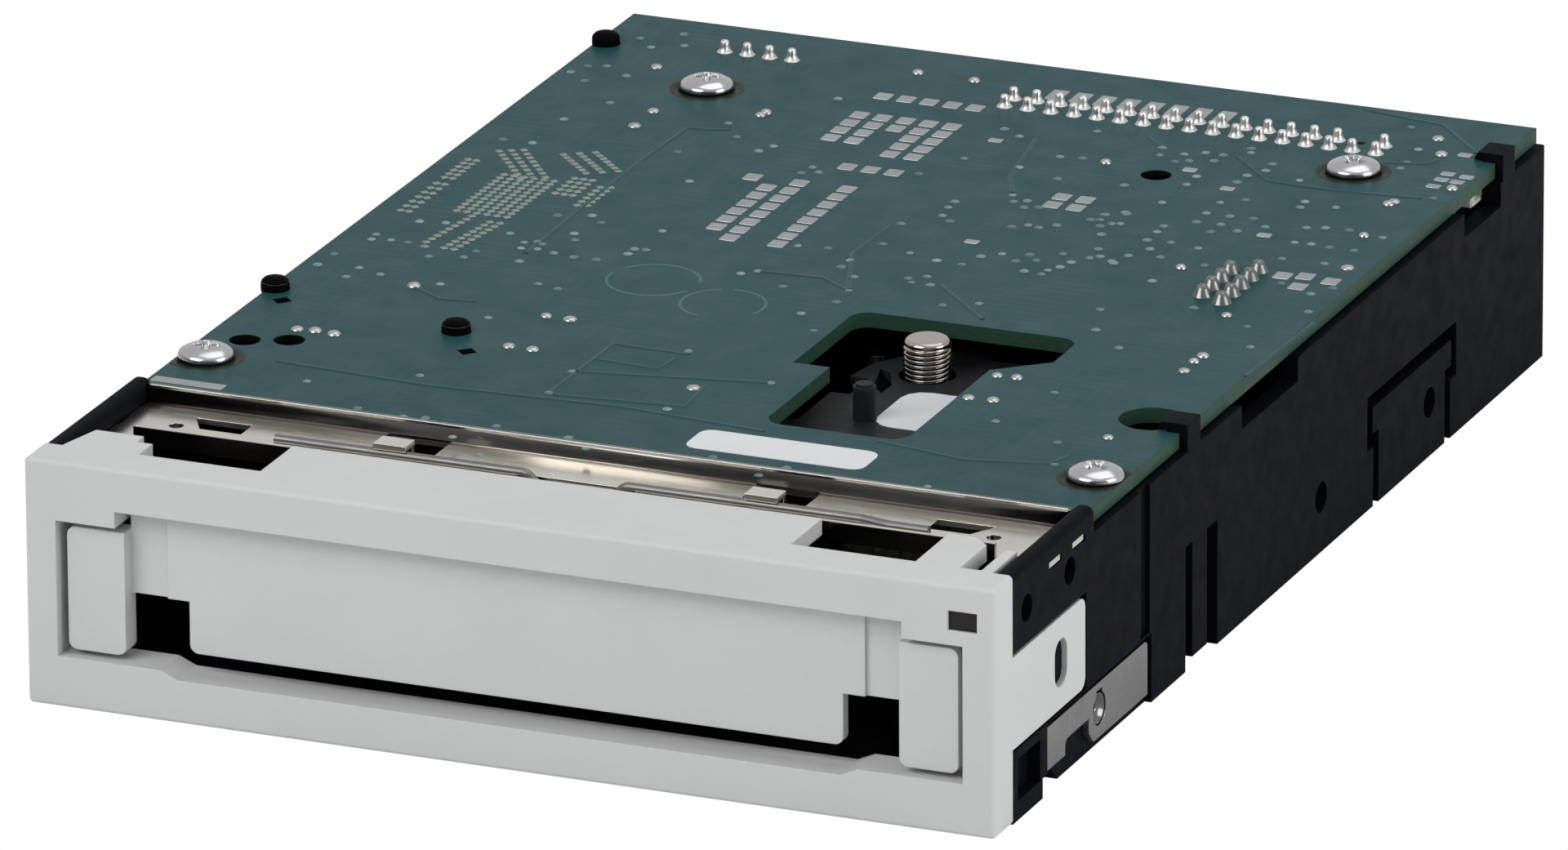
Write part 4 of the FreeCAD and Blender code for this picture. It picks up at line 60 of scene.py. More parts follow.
# The photograph's size in pixels, and the camera that took it, with its place in metres.
PHOTO_WIDE, PHOTO_HIGH = 1920, 1041
LENS_MM, SENSOR_MM = 431.9, 36.0
AZIMUTH, ELEVATION, ROLL = math.radians(22.732), math.radians(19.680), -0.005784
CAMERA_AT = Vector((0.68081, -1.63023, 0.64241))
BACK = Vector((math.sin(AZIMUTH) * math.cos(ELEVATION), -math.cos(AZIMUTH) * math.cos(ELEVATION),
               math.sin(ELEVATION)))
LEVEL = (-BACK).cross(Vector((0.0, 0.0, 1.0))).normalized()
RIGHT = math.cos(ROLL) * LEVEL + math.sin(ROLL) * LEVEL.cross(-BACK)
TOP = math.cos(ROLL) * LEVEL.cross(-BACK) - math.sin(ROLL) * LEVEL


def place(x, depth, z=None):
    """A point in metres from millimetres: across, back from the front face and up, or on the board."""
    return Vector((x * MM, FRONT + depth * MM, BOARD_TOP if z is None else z * MM))


def seen(u, v):
    """The point on the board that the photograph shows at a pixel."""
    pixel = SENSOR_MM / LENS_MM / PHOTO_WIDE
    ray = RIGHT * ((u - PHOTO_WIDE / 2) * pixel) - TOP * ((v - PHOTO_HIGH / 2) * pixel) - BACK
    return CAMERA_AT + ray * ((BOARD_TOP - CAMERA_AT.z) / ray.z)


# Shader helpers

def feed(tree, socket, value):
    """Link an input to another node's output, or give it a value."""
    if hasattr(value, "is_linked"):
        tree.links.new(value, socket)
    else:
        socket.default_value = value


def node(tree, kind, **inputs):
    """A new node with its inputs fed by name."""
    made = tree.nodes.new("ShaderNode" + kind)
    for name, value in inputs.items():
        feed(tree, made.inputs[name.replace("_", " ")], value)
    return made


def calculate(tree, operation, a, b=0.0, clamp=False):
    """The result of a sum, product or other operation on one or two values."""
    made = node(tree, "Math")
    made.operation = operation
    made.use_clamp = clamp
    feed(tree, made.inputs[0], a)
    feed(tree, made.inputs[1], b)
    return made.outputs[0]


def between(tree, share, first, second):
    """A shader that goes from the first to the second as the share goes from 0 to 1."""
    made = node(tree, "MixShader")
    for socket, source in zip(made.inputs, (share, first, second)):
        tree.links.new(source, socket)
    return made.outputs[0]


# Rays that a bevel casts, for worn edges and for softened ones.
EDGE_SAMPLES, SOFT_SAMPLES = 4, 8
# How far the rounded normal and the true one still agree at a sharp edge, where 1 is fully.
SHARP_EDGE = 0.75
# Radii in metres: of the worn edges of mouldings, and of their softened ones.
WORN_RADIUS, MOULDED_RADIUS = 0.00025, 0.00018
# The range of a noise that a finish follows: most of it for clouds, and its middle for streaks.
CLOUDS, STREAKS = (0.3, 0.7), (0.35, 0.65)
# Fine lines on metal, to a metre.
FINE_LINES = 2600.0


class Shader:
    """A material under construction, with short calls for the nodes used here."""

    def __init__(self, name):
        self.material = bpy.data.materials.new(name)
        self.material.use_nodes = True
        self.tree = self.material.node_tree
        self.tree.nodes.clear()
        self.surface = node(self.tree, "BsdfPrincipled")
        node(self.tree, "OutputMaterial", Surface=self.surface.outputs[0])
        self.coords = node(self.tree, "TexCoord").outputs["Object"]

    def set(self, **values):
        """Values or links for the inputs of the surface."""
        for name, value in values.items():
            feed(self.tree, self.surface.inputs[name.replace("_", " ")], value)

    def noise(self, scale, detail=3.0, roughness=0.5, stretch=None):
        """Noise with features about 1/scale metres across."""
        source = self.coords
        if stretch:
            source = node(self.tree, "Mapping", Vector=source, Scale=stretch).outputs[0]
        made = node(self.tree, "TexNoise", Vector=source, Scale=scale, Detail=detail, Roughness=roughness)
        return made.outputs["Fac"]

    def span(self, value, low, high, to_low=0.0, to_high=1.0):
        """A value carried from one range to another, where it is held at both ends."""
        made = node(self.tree, "MapRange", Value=value, From_Min=low, From_Max=high, To_Min=to_low,
                    To_Max=to_high)
        return made.outputs[0]

    def math(self, operation, a, b=0.0, clamp=False):
        """The result of an operation on one or two values."""
        return calculate(self.tree, operation, a, b, clamp)

    def mix(self, share, a, b):
        """Colour a where the share is 0, and colour b where it is 1."""
        made = node(self.tree, "Mix")
        made.data_type = "RGBA"
        feed(self.tree, made.inputs[0], share)
        for socket, value in ((made.inputs[6], a), (made.inputs[7], b)):
            feed(self.tree, socket, (*value, 1.0) if isinstance(value, tuple) else value)
        return made.outputs[2]

    def axis(self, name, source=None):
        """One coordinate of the object's own space, or of another vector."""
        return node(self.tree, "SeparateXYZ", Vector=source or self.coords).outputs[name]

    def bevel(self, radius, samples):
        """The surface normal with edges rounded by a radius in metres."""
        made = node(self.tree, "Bevel", Radius=radius)
        made.samples = samples
        return made.outputs[0]

    def edges(self, radius):
        """How strongly the surface bends here, from 0 on flats to 1 at sharp edges."""
        dot = node(self.tree, "VectorMath")
        dot.operation = "DOT_PRODUCT"
        feed(self.tree, dot.inputs[0], self.bevel(radius, EDGE_SAMPLES))
        feed(self.tree, dot.inputs[1], node(self.tree, "NewGeometry").outputs["Normal"])
        return self.span(dot.outputs["Value"], 1.0, SHARP_EDGE)

    def bump(self, height, distance, soften=0.0):
        """The material with a bump of a height in metres, over edges softened by a radius."""
        made = node(self.tree, "Bump", Strength=1.0, Distance=distance, Height=height)
        if soften:
            feed(self.tree, made.inputs["Normal"], self.bevel(soften, SOFT_SAMPLES))
        self.set(Normal=made.outputs[0])
        return self.material


def shade(color, share, lift=0.0):
    """A colour made lighter or darker, no lighter than white."""
    return tuple(min(1.0, channel * share + lift) for channel in color)


def moulded(name, color, grain=9000.0, depth=0.000012, rough=0.5, specular=0.4, wear=0.06):
    """Moulded plastic: fine grain, slow colour drift, softened and slightly worn edges."""
    made = Shader(name)
    drift = made.mix(made.noise(60.0, detail=4.0), shade(color, 0.93), shade(color, 1.05))
    specks = made.math("MULTIPLY", made.span(made.noise(5200.0, detail=1.0), 0.62, 0.78), 0.10)
    speckled = made.mix(specks, drift, shade(color, 0.55))
    rubbed = made.math("MULTIPLY", made.edges(WORN_RADIUS), wear)
    made.set(Base_Color=made.mix(rubbed, speckled, shade(color, 1.6, 0.02)), Specular_IOR_Level=specular,
             Roughness=made.span(made.noise(420.0), *CLOUDS, rough - 0.06, rough + 0.07))
    return made.bump(made.noise(grain, detail=2.0), depth, MOULDED_RADIUS)


def metal(name, color, rough=0.3, brushed=(1.0, 1.0, 1.0), scratches=0.25, soften=0.00012, tarnish=0.08,
          depth=0.0000012):
    """Bare or plated metal with fine scratches, uneven polish and faint tarnish."""
    made = Shader(name)
    lines = made.noise(FINE_LINES, detail=4.0, roughness=0.6, stretch=brushed)
    cloud = made.noise(180.0, detail=5.0, roughness=0.6)
    polish = made.span(cloud, *CLOUDS, rough - 0.07, rough + 0.06)
    scored = made.span(lines, *STREAKS, -scratches * 0.2, scratches * 0.2)
    dull = made.span(cloud, 0.35, 0.75)
    made.set(Base_Color=made.mix(dull, color, shade(color, 1.0 - tarnish * 2)), Metallic=1.0,
             Roughness=made.math("ADD", polish, scored, clamp=True))
    return made.bump(lines, depth, soften)


def masked(name, dark, light, rough, specular):
    """Solder mask or ink over copper."""
    made = Shader(name)
    made.set(Base_Color=made.mix(made.noise(500.0), dark, light), Specular_IOR_Level=specular,
             Roughness=made.span(made.noise(900.0), *CLOUDS, rough - 0.04, rough + 0.05))
    return made.bump(made.noise(2500.0), 0.00001)


# Materials

MOULDINGS = {
    "black_moulding": dict(color=(0.0041, 0.0045, 0.0066), grain=5200.0, depth=0.00002, specular=0.018,
                           wear=0.02),
    "dark_peg": dict(color=(0.0022, 0.0023, 0.0026), grain=5200.0, depth=0.00002, specular=0.01, wear=0.01),
    "cover_moulding": dict(color=(0.015, 0.0155, 0.017), grain=4200.0, depth=0.00002, specular=0.08),
    "grey_moulding": dict(color=(0.565, 0.565, 0.56), grain=7000.0, depth=0.00001, rough=0.52, specular=0.35),
    "door_moulding": dict(color=(0.57, 0.57, 0.565), grain=6500.0, depth=0.000022, specular=0.38),
    "white_moulding": dict(color=(0.66, 0.65, 0.61), rough=0.42, specular=0.45),
    "feeler_moulding": dict(color=(0.55, 0.54, 0.50), rough=0.45),
    "gear_moulding": dict(color=(0.50, 0.49, 0.44), rough=0.42),
    "chip_body": dict(color=(0.020, 0.020, 0.021), rough=0.42),
    "connector_body": dict(color=(0.030, 0.030, 0.032), rough=0.44),
    "switch_body": dict(color=(0.025, 0.025, 0.027), rough=0.40),
    "magnet_body": dict(color=(0.045, 0.045, 0.048)),
    "tyre_rubber": dict(color=(0.022, 0.022, 0.022), grain=6000.0, depth=0.00004, rough=0.68, specular=0.3),
}
METALS = {
    "bright_steel": dict(color=(0.62, 0.61, 0.58), rough=0.24),
    "spring_steel": dict(color=(0.17, 0.165, 0.155), rough=0.40, scratches=0.1, soften=0.0, tarnish=0.05),
    "dull_steel": dict(color=(0.40, 0.39, 0.37), rough=0.42),
    "clip_sheet": dict(color=(0.29, 0.285, 0.28), rough=0.34, brushed=(1.0, 0.15, 1.0), scratches=0.15),
    "dark_screw": dict(color=(0.16, 0.16, 0.16), rough=0.22, scratches=0.1, soften=0.0),
    "zinc_screws": dict(color=(0.45, 0.45, 0.46), rough=0.21, scratches=0.04, tarnish=0.03, depth=0.0000002),
    "brass_screw": dict(color=(0.40, 0.36, 0.33), rough=0.14, scratches=0.08, soften=0.0),
    "bearing_bronze": dict(color=(0.42, 0.27, 0.13), rough=0.42, tarnish=0.2),
    "dark_rod": dict(color=(0.20, 0.20, 0.20), rough=0.30, brushed=(1.0, 1.0, 0.15)),
    "carriage_metal": dict(color=(0.42, 0.42, 0.41), rough=0.45),
    "head_metal": dict(color=(0.50, 0.50, 0.49), rough=0.18, brushed=(1.0, 1.0, 0.1)),
    "motor_can": dict(color=(0.34, 0.34, 0.33), rough=0.34),
    "tinned_pins": dict(color=(0.60, 0.60, 0.59), rough=0.38, scratches=0.1, soften=0.0),
    "solder": dict(color=(0.165, 0.175, 0.170), rough=0.27, scratches=0.1, soften=0.0),
    # A lighter copy of the same solder, whose colour paints glints on the small drops.
    "bright_solder": dict(color=(0.40, 0.41, 0.40), rough=0.30, scratches=0.1, soften=0.0),
    "pad_metal": dict(color=(0.36, 0.375, 0.385), rough=0.42, scratches=0.15, soften=0.0),
    "spot_metal": dict(color=(0.25, 0.29, 0.26), rough=0.42, scratches=0.1, soften=0.0),
}
MASKS = {
    "trace_mask": dict(dark=(0.0165, 0.058, 0.063), light=(0.0235, 0.072, 0.077), rough=0.36, specular=0.08),
    # Bare rings round the board screws, their dark colour partly painted contact shade.
    "bare_ring": dict(dark=(0.010, 0.016, 0.011), light=(0.020, 0.024, 0.015), rough=0.4, specular=0.08),
    "stamp_ink": dict(dark=(0.045, 0.115, 0.130), light=(0.080, 0.165, 0.185), rough=0.5, specular=0.05),
}
# The front of the bracket's lip, back from the front face, and the top of its roll, in millimetres.
LIP_FRONT, LIP_BACK = 13.62, 13.80
CROWN_LOW, CROWN_HIGH = 24.55, 25.0
# Noise drawn out into lines along X, the way in which the sheet is brushed.
SHEET_LINES = (0.12, 1.0, 1.0)


def plated_sheet():
    """Bright plated sheet, with painted shade on the front of its lip, down in the slot behind the bezel."""
    made = Shader("plated_sheet")
    lines = made.noise(FINE_LINES, stretch=SHEET_LINES)
    cloud = made.span(made.noise(120.0, detail=4.0), 0.4, 0.8)
    clean = made.mix(cloud, (0.62, 0.60, 0.56), (0.56, 0.54, 0.49))
    # Painted shade: the front of the lip is coloured near black, for the shade it lies in inside the slot.
    lip = made.span(made.axis("Y"), FRONT + LIP_FRONT * MM, FRONT + LIP_BACK * MM, 1.0, 0.0)
    made.set(Base_Color=made.mix(lip, clean, (0.035, 0.032, 0.029)), Metallic=1.0,
             Roughness=made.span(lines, *STREAKS, 0.17, 0.22))
    return made.bump(lines, 0.0000002, soften=0.00008)


def plated_roll():
    """The same sheet where it is rolled over, in darker colours that paint its shade, darkest towards its top.
    """
    made = Shader("plated_roll")
    lines = made.noise(FINE_LINES, stretch=SHEET_LINES)
    # Painted shade: the face of the roll is darker than the flat sheet, and darker still towards its top.
    crown_shade = made.span(made.axis("Z"), CROWN_LOW * MM, CROWN_HIGH * MM)
    face = made.mix(made.noise(90.0, detail=4.0), (0.40, 0.38, 0.34), (0.30, 0.28, 0.25))
    made.set(Base_Color=made.mix(crown_shade, face, (0.105, 0.115, 0.110)), Metallic=1.0,
             Roughness=made.span(lines, *STREAKS, 0.12, 0.17))
    return made.bump(lines, 0.0000002)


def copper_winding():
    """Lacquered copper wire, wound in fine level turns."""
    made = Shader("copper_winding")
    wires = made.noise(5000.0, detail=2.0, stretch=(1.0, 1.0, 9.0))
    made.set(Base_Color=made.mix(made.noise(300.0), (0.42, 0.13, 0.04), (0.62, 0.23, 0.08)), Metallic=0.85,
             Roughness=0.35, Coat_Weight=0.4, Coat_Roughness=0.2)
    return made.bump(wires, 0.00005)


def dark_lens():
    """The dark window over the activity light."""
    made = Shader("dark_lens")
    made.set(Base_Color=made.mix(made.noise(400.0), (0.012, 0.010, 0.011), (0.018, 0.014, 0.015)),
             Roughness=made.span(made.noise(900.0), *CLOUDS, 0.18, 0.28), Specular_IOR_Level=0.2)
    return made.bump(made.noise(1200.0), 0.000003, soften=0.0002)


# Copper runs under the mask: lanes to a metre, and how far from the middle of its lane a run's edge begins
# and ends, as shares of the lane.
LANES = 720.0
RUN_EDGE = (0.20, 0.24)
# The band behind the bezel, in metres along Y, in which the board darkens towards the front as painted shade.
SHADE_BAND = (-0.065, -0.015)


def board_laminate():
    """Board laminate under green solder mask, with copper runs that show faintly through the mask."""
    made = Shader("board_laminate")
    tracks = []
    for name in ("X", "Y"):
        lane = made.math("FRACT", made.math("MULTIPLY", made.axis(name), LANES))
        from_middle = made.math("ABSOLUTE", made.math("SUBTRACT", lane, 0.5))
        tracks.append(made.span(from_middle, *RUN_EDGE, 1.0, 0.0))
    runs = made.span(made.noise(150.0, detail=1.0), 0.48, 0.52)
    areas = made.span(made.noise(95.0, detail=2.0), 0.47, 0.56)
    copper = made.math("MULTIPLY", made.mix(runs, *tracks), areas)
    thick = made.mix(made.noise(70.0, detail=5.0), (0.0105, 0.053, 0.057), (0.0160, 0.066, 0.070))
    # Painted shade under the bezel: the mask darkens towards the front.
    mask = made.mix(made.span(made.axis("Y"), *SHADE_BAND, 0.28, 0.0), thick, (0.004, 0.028, 0.030))
    top = made.mix(made.math("MULTIPLY", copper, 0.045), mask, (0.044, 0.120, 0.118))
    upward = made.axis("Z", node(made.tree, "NewGeometry").outputs["Normal"])
    flat = made.span(made.math("ABSOLUTE", upward), 0.6, 0.9)
    fibres = made.noise(900.0, detail=2.0, stretch=(1.0, 1.0, 6.0))
    glass = made.mix(fibres, (0.016, 0.042, 0.030), (0.034, 0.074, 0.051))
    made.set(Base_Color=made.mix(flat, glass, top), Specular_IOR_Level=0.06,
             Roughness=made.span(made.noise(260.0, detail=4.0), *CLOUDS, 0.30, 0.42))
    ripple = made.math("MULTIPLY", made.noise(700.0), 0.5)
    height = made.math("ADD", made.math("MULTIPLY", copper, 0.4), ripple)
    return made.bump(height, 0.000012, soften=0.0001)


def via_mask():
    """Vias whose colour goes from dark to light at random."""
    made = Shader("via_mask")
    cover = made.span(made.noise(330.0, detail=2.0), 0.40, 0.66)
    made.set(Base_Color=made.mix(cover, (0.050, 0.115, 0.118), (0.185, 0.255, 0.275)), Specular_IOR_Level=0.4,
             Roughness=made.span(made.noise(900.0), *CLOUDS, 0.26, 0.36))
    return made.bump(made.noise(2500.0), 0.00001)


def paper_label():
    """Plain matt paper."""
    made = Shader("paper_label")
    made.set(Base_Color=made.mix(made.noise(160.0, detail=4.0), (0.60, 0.62, 0.63), (0.70, 0.72, 0.73)),
             Roughness=made.span(made.noise(700.0), *CLOUDS, 0.42, 0.55))
    return made.bump(made.noise(2200.0, detail=4.0), 0.00001)


materials = {}
for make, recipes in ((moulded, MOULDINGS), (metal, METALS), (masked, MASKS)):
    for name, recipe in recipes.items():
        materials[name] = make(name, **recipe)
for make in (plated_sheet, plated_roll, copper_winding, dark_lens, board_laminate, via_mask, paper_label):
    materials[make.__name__] = make()

for part in frame["record"]["subparts"]:
    thing = NODES[part["node"]]
    thing.data.materials.clear()
    thing.data.materials.append(materials[part["material_slot"]])


# Pieces

def from_bmesh(name, bm, smooth=True):
    """A mesh with its faces turned outwards, shaded smooth or flat."""
    mesh = bpy.data.meshes.new(name)
    bmesh.ops.recalc_face_normals(bm, faces=bm.faces)
    bm.to_mesh(mesh)
    bm.free()
    for face in mesh.polygons:
        face.use_smooth = smooth
    return mesh


def piece(name, bm, material, body="drive", smooth=True):
    """A finished shape as an object that rides on a body."""
    thing = bpy.data.objects.new(name, from_bmesh(name, bm, smooth))
    bpy.context.scene.collection.objects.link(thing)
    thing.data.materials.append(materials[material])
    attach(thing, body)
    return thing


UPRIGHT = Matrix.Identity(3)
# Bases for a shape on the left (-1) or right (1) side: its height points outwards and its length up.
SIDEWAYS = {sign: Matrix(((0.0, 0.0, sign), (sign, 0.0, 0.0), (0.0, 1.0, 0.0))) for sign in (-1, 1)}
# How far the rims of raised shapes and of tiles reach below what carries them, in millimetres.
SUNK, TILE_SUNK = 0.01, 0.02
# Insets in millimetres and shares of the height at which the edge of a tile rounds over, the most that the
# insets may be of a small tile's width, the least radius of its corners, and the steps round each of them.
TILE_EDGE = ((0.02, 0.6), (0.07, 0.92), (0.2, 1.0))
MOST_INSET, LEAST_CORNER, CORNER_STEPS = 0.4, 0.02, 3


def on_circle(radius, turn, height):
    """A point at a radius and an angle about an upright line."""
    return Vector((radius * math.cos(turn), radius * math.sin(turn), height))


def bridge(bm, rings):
    """Faces between each closed ring of corners and the next."""
    for lower, upper in zip(rings, rings[1:]):
        for step, corner in enumerate(lower):
            after = (step + 1) % len(lower)
            bm.faces.new((corner, lower[after], upper[after], upper[step]))


def revolve(bm, centre, profile, steps, basis=UPRIGHT):
    """A turned shape; its profile is a list of radius and height in millimetres."""
    rings = []
    for radius, height in profile:
        count = steps if radius > 0.0 else 1
        ring = []
        for step in range(count):
            point = on_circle(radius * MM, math.tau * step / steps, height * MM)
            ring.append(bm.verts.new(centre + basis @ point))
        rings.append(ring)
    for lower, upper in zip(rings, rings[1:]):
        for step in range(steps):
            after = (step + 1) % steps
            corners = [lower[step % len(lower)], lower[after % len(lower)],
                       upper[after % len(upper)], upper[step % len(upper)]]
            unique = list(dict.fromkeys(corners))
            if len(unique) > 2:
                bm.faces.new(unique)


def outline(width, length, corner):
    """Points round a rectangle with rounded corners, about its middle."""
    points = []
    for quarter, (across, along) in enumerate(((1, 1), (-1, 1), (-1, -1), (1, -1))):
        for step in range(CORNER_STEPS + 1):
            turn = math.tau / 4 * (quarter + step / CORNER_STEPS)
            points.append((across * (width / 2 - corner) + corner * math.cos(turn),
                           along * (length / 2 - corner) + corner * math.sin(turn)))
    return points


def tile(bm, centre, width, length, height, corner, turn=0.0, basis=UPRIGHT):
    """A thin domed plate with rounded corners on a surface; sizes in millimetres."""
    rings = []
    for inset, lift in [(0.0, -TILE_SUNK)] + [(inset, share * height) for inset, share in TILE_EDGE]:
        inset = min(inset, MOST_INSET * min(width, length))
        ring = []
        rounding = max(corner - inset, LEAST_CORNER)
        for across, along in outline(width - 2 * inset, length - 2 * inset, rounding):
            spun = Vector((across * math.cos(turn) - along * math.sin(turn),
                           across * math.sin(turn) + along * math.cos(turn), lift))
            ring.append(bm.verts.new(centre + MM * (basis @ spun)))
        rings.append(ring)
    bridge(bm, rings)
    bm.faces.new(rings[-1])


def trace(bm, points, width, height):
    """A raised run of copper or ink along a path of points on the board; sizes in millimetres."""
    section = ((-0.5, -SUNK), (-0.28, height), (0.28, height), (0.5, -SUNK))
    rows = []
    for number, point in enumerate(points):
        before = points[max(number - 1, 0)]
        after = points[min(number + 1, len(points) - 1)]
        side = (after - before).normalized().cross(Vector((0.0, 0.0, 1.0)))
        rows.append([bm.verts.new(point + MM * (side * share * width + Vector((0.0, 0.0, lift))))
                     for share, lift in section])
    for row, following in zip(rows, rows[1:]):
        for step in range(len(section) - 1):
            bm.faces.new((row[step], row[step + 1], following[step + 1], following[step]))


# Rows of nearly square pads: first place, count, and step across and back, in millimetres.
PAD_ROWS = [
    (-15.7, 134.1, 5, 2.54, 0.0), (-15.7, 127.7, 5, 2.54, 0.0), (-15.7, 125.1, 5, 2.54, 0.0),
    (-15.7, 122.6, 2, 2.54, 0.0), (-8.1, 122.6, 2, 2.54, 0.0), (-15.7, 120.0, 2, 2.54, 0.0),
    (-8.1, 120.0, 2, 2.54, 0.0), (-8.1, 117.4, 2, 2.54, 0.0), (-10.6, 112.1, 3, 2.54, 0.0),
    (-15.75, 90.1, 6, 0.0, 2.6), (-13.2, 87.5, 8, 0.0, 2.59), (-8.0, 87.5, 8, 0.0, 2.59),
    (-18.3, 105.6, 1, 0.0, 0.0), (13.1, 108.85, 2, 2.54, 0.0), (13.1, 111.45, 2, 2.54, 0.0),
    (0.7, 141.0, 8, 2.64, 0.0), (42.5, 97.2, 2, 2.2, 0.6), (45.1, 94.7, 2, 2.5, 2.6),
]
PAD_WIDE, PAD_LONG = 1.75, 1.95
# The rows further back than this have longer pads.
EDGE_ROWS, EDGE_PAD_LONG = 140.0, 3.2
# The long bare land at the front left corner of the board.
CORNER_LAND = (-45.75, 27.65)
# Lone pads, vias, solder drops and the paths of copper runs, by the pixels where the photograph shows them.
LONE_PADS = [
    (1219, 172), (1190, 296), (1503, 231), (1457, 208), (1548, 288), (1794, 190), (1755, 228), (1765, 220),
    (1773, 213), (1796, 217), (1784, 223),
]
VIAS = [
    (1298, 192), (1326, 194), (1353, 198), (1181, 194), (1248, 205), (1295, 219), (1248, 167), (1344, 161),
    (1240, 239), (1241, 247), (1258, 246), (1254, 254), (1272, 254), (1354, 263), (1380, 262), (1336, 269),
    (1347, 269), (1347, 277), (1372, 274), (1349, 287), (1239, 278), (1259, 276), (1272, 279), (1294, 276),
    (1169, 247), (1161, 254), (1154, 264), (1163, 271), (1103, 274), (1081, 299), (1114, 310), (1147, 319),
    (1178, 324), (1201, 314), (1227, 311), (1244, 320), (1254, 332), (1261, 312), (1269, 319), (1275, 336),
    (1283, 331), (1298, 327), (1302, 311), (1312, 321), (1334, 316), (1347, 314), (1364, 322), (1381, 313),
    (1041, 319), (1030, 327), (1014, 304), (1046, 339), (1039, 356), (1024, 370), (928, 332), (907, 335),
    (959, 351), (1112, 341), (1116, 346), (1135, 339), (1139, 349), (1199, 372), (1154, 374), (1342, 404),
    (981, 384), (996, 405), (977, 301), (1125, 213), (1002, 211), (981, 212), (995, 205), (947, 179),
    (929, 185), (902, 168), (892, 151), (1026, 121), (1230, 158), (830, 186), (844, 222), (767, 93),
    (747, 126), (691, 146), (616, 171), (652, 175), (625, 286), (642, 297), (658, 296), (638, 304),
    (658, 305), (664, 299), (636, 320), (678, 310), (703, 315), (730, 318), (703, 286), (704, 294),
    (725, 264), (736, 273), (683, 264), (769, 311), (777, 305), (791, 306), (811, 283), (659, 348),
    (683, 354), (598, 389), (539, 348), (525, 314), (568, 315), (583, 308), (514, 271), (546, 273),
    (672, 481), (700, 455), (608, 522), (514, 460), (843, 430), (817, 501), (873, 560), (944, 469),
    (1291, 481), (1291, 569), (1219, 516), (1136, 596), (963, 573), (929, 582), (1295, 542), (1377, 227),
    (1423, 248), (1352, 263), (1378, 260), (1361, 274), (1425, 277), (1417, 284), (1405, 294), (1408, 305),
    (1434, 297), (1382, 313), (1361, 320), (1345, 305), (1421, 315), (1467, 304), (1477, 261), (1465, 272),
    (1506, 265), (1495, 275), (1483, 284), (1515, 283), (1535, 268), (1549, 278), (1494, 248), (1525, 245),
    (1515, 223), (1527, 215), (1453, 226), (1465, 216), (1456, 197), (1439, 198), (1450, 189), (1423, 181),
    (1420, 190), (1476, 187), (1487, 197), (1498, 190), (1532, 182), (1532, 187), (1558, 201), (1550, 209),
    (1591, 221), (1598, 247), (1592, 254), (1636, 254), (1600, 279), (1623, 279), (1652, 282), (1693, 291),
    (1585, 297), (1606, 299), (1628, 303), (1658, 307), (1570, 317), (1622, 323), (1475, 325), (1411, 344),
    (1462, 377), (1347, 379), (1527, 400), (1602, 382), (1569, 347), (1632, 353), (1605, 360), (1728, 156),
    (1737, 183), (1723, 199), (1715, 206), (1755, 243), (1370, 426), (1531, 425), (461, 287), (455, 293),
    (479, 294), (499, 297), (520, 302), (424, 339), (440, 328), (466, 336), (409, 311), (389, 324),
    (699, 88), (720, 81), (743, 81), (716, 99), (784, 47), (797, 58), (838, 56), (838, 42), (494, 510),
    (521, 512), (376, 467), (438, 500), (554, 535), (586, 557), (696, 536), (718, 549),
]
SOLDER_SPOTS = [
    (804, 82), (777, 154), (800, 136), (938, 138), (931, 141), (669, 387), (698, 391), (623, 424),
    (652, 428), (1221, 460), (1245, 463), (1186, 487), (1216, 490), (1707, 247), (1700, 250), (1778, 231),
    (1765, 189), (1761, 170), (1473, 436), (1462, 443), (1450, 454), (1502, 386), (1357, 536), (1124, 89),
    (1193, 99), (364, 403), (386, 405), (409, 409), (849, 475), (1354, 199), (1670, 289), (1650, 328),
    (1446, 328), (507, 350),
]
TRACES = [
    [(674, 480), (751, 421), (843, 434)], [(706, 455), (944, 469)], [(678, 483), (838, 498), (863, 473)],
    [(733, 440), (806, 452), (828, 438)], [(339, 442), (518, 471), (760, 498), (935, 528)],
    [(1075, 540), (1180, 563), (1285, 568), (1310, 558)], [(894, 159), (841, 157), (775, 204), (644, 310)],
    [(1091, 276), (1044, 310), (1039, 354)], [(1150, 348), (1203, 391)], [(506, 351), (538, 366), (581, 369)],
    [(1405, 167), (1423, 180)], [(1515, 192), (1552, 222), (1632, 233), (1740, 243)],
    [(1671, 134), (1767, 153), (1809, 188)], [(1694, 199), (1748, 201), (1767, 193)],
    [(1609, 395), (1525, 461)], [(1269, 170), (1237, 216), (1240, 236)],
    [(928, 332), (1008, 340), (1036, 355)],
]
# Seeds of the random widths of vias and of solder drops.
VIA_SEED, SOLDER_SEED = 17, 29
# Bands of small bare spots: both ends, spots in a row, rows, and step between rows, in millimetres.
SPOT_BANDS = [
    (-42.0, 85.0, -42.0, 97.0, 12, 6, 1.1, 0.0), (-45.4, 103.6, -40.0, 96.6, 8, 3, 1.1, 0.6),
    (-41.0, 75.0, -39.9, 84.0, 9, 1, 0.0, 0.0), (-38.6, 74.0, -37.5, 83.0, 9, 2, 1.1, 0.0),
    (-38.9, 105.0, -34.5, 100.5, 7, 3, 1.4, 0.9), (-34.9, 93.6, -34.9, 98.6, 5, 3, 0.95, 0.0),
    (-31.4, 91.0, -31.4, 97.0, 6, 2, 1.0, 0.3), (-47.3, 94.0, -47.3, 100.0, 6, 2, 0.9, 0.0),
    (-47.3, 83.0, -47.3, 92.0, 7, 2, 0.9, 0.0),
]
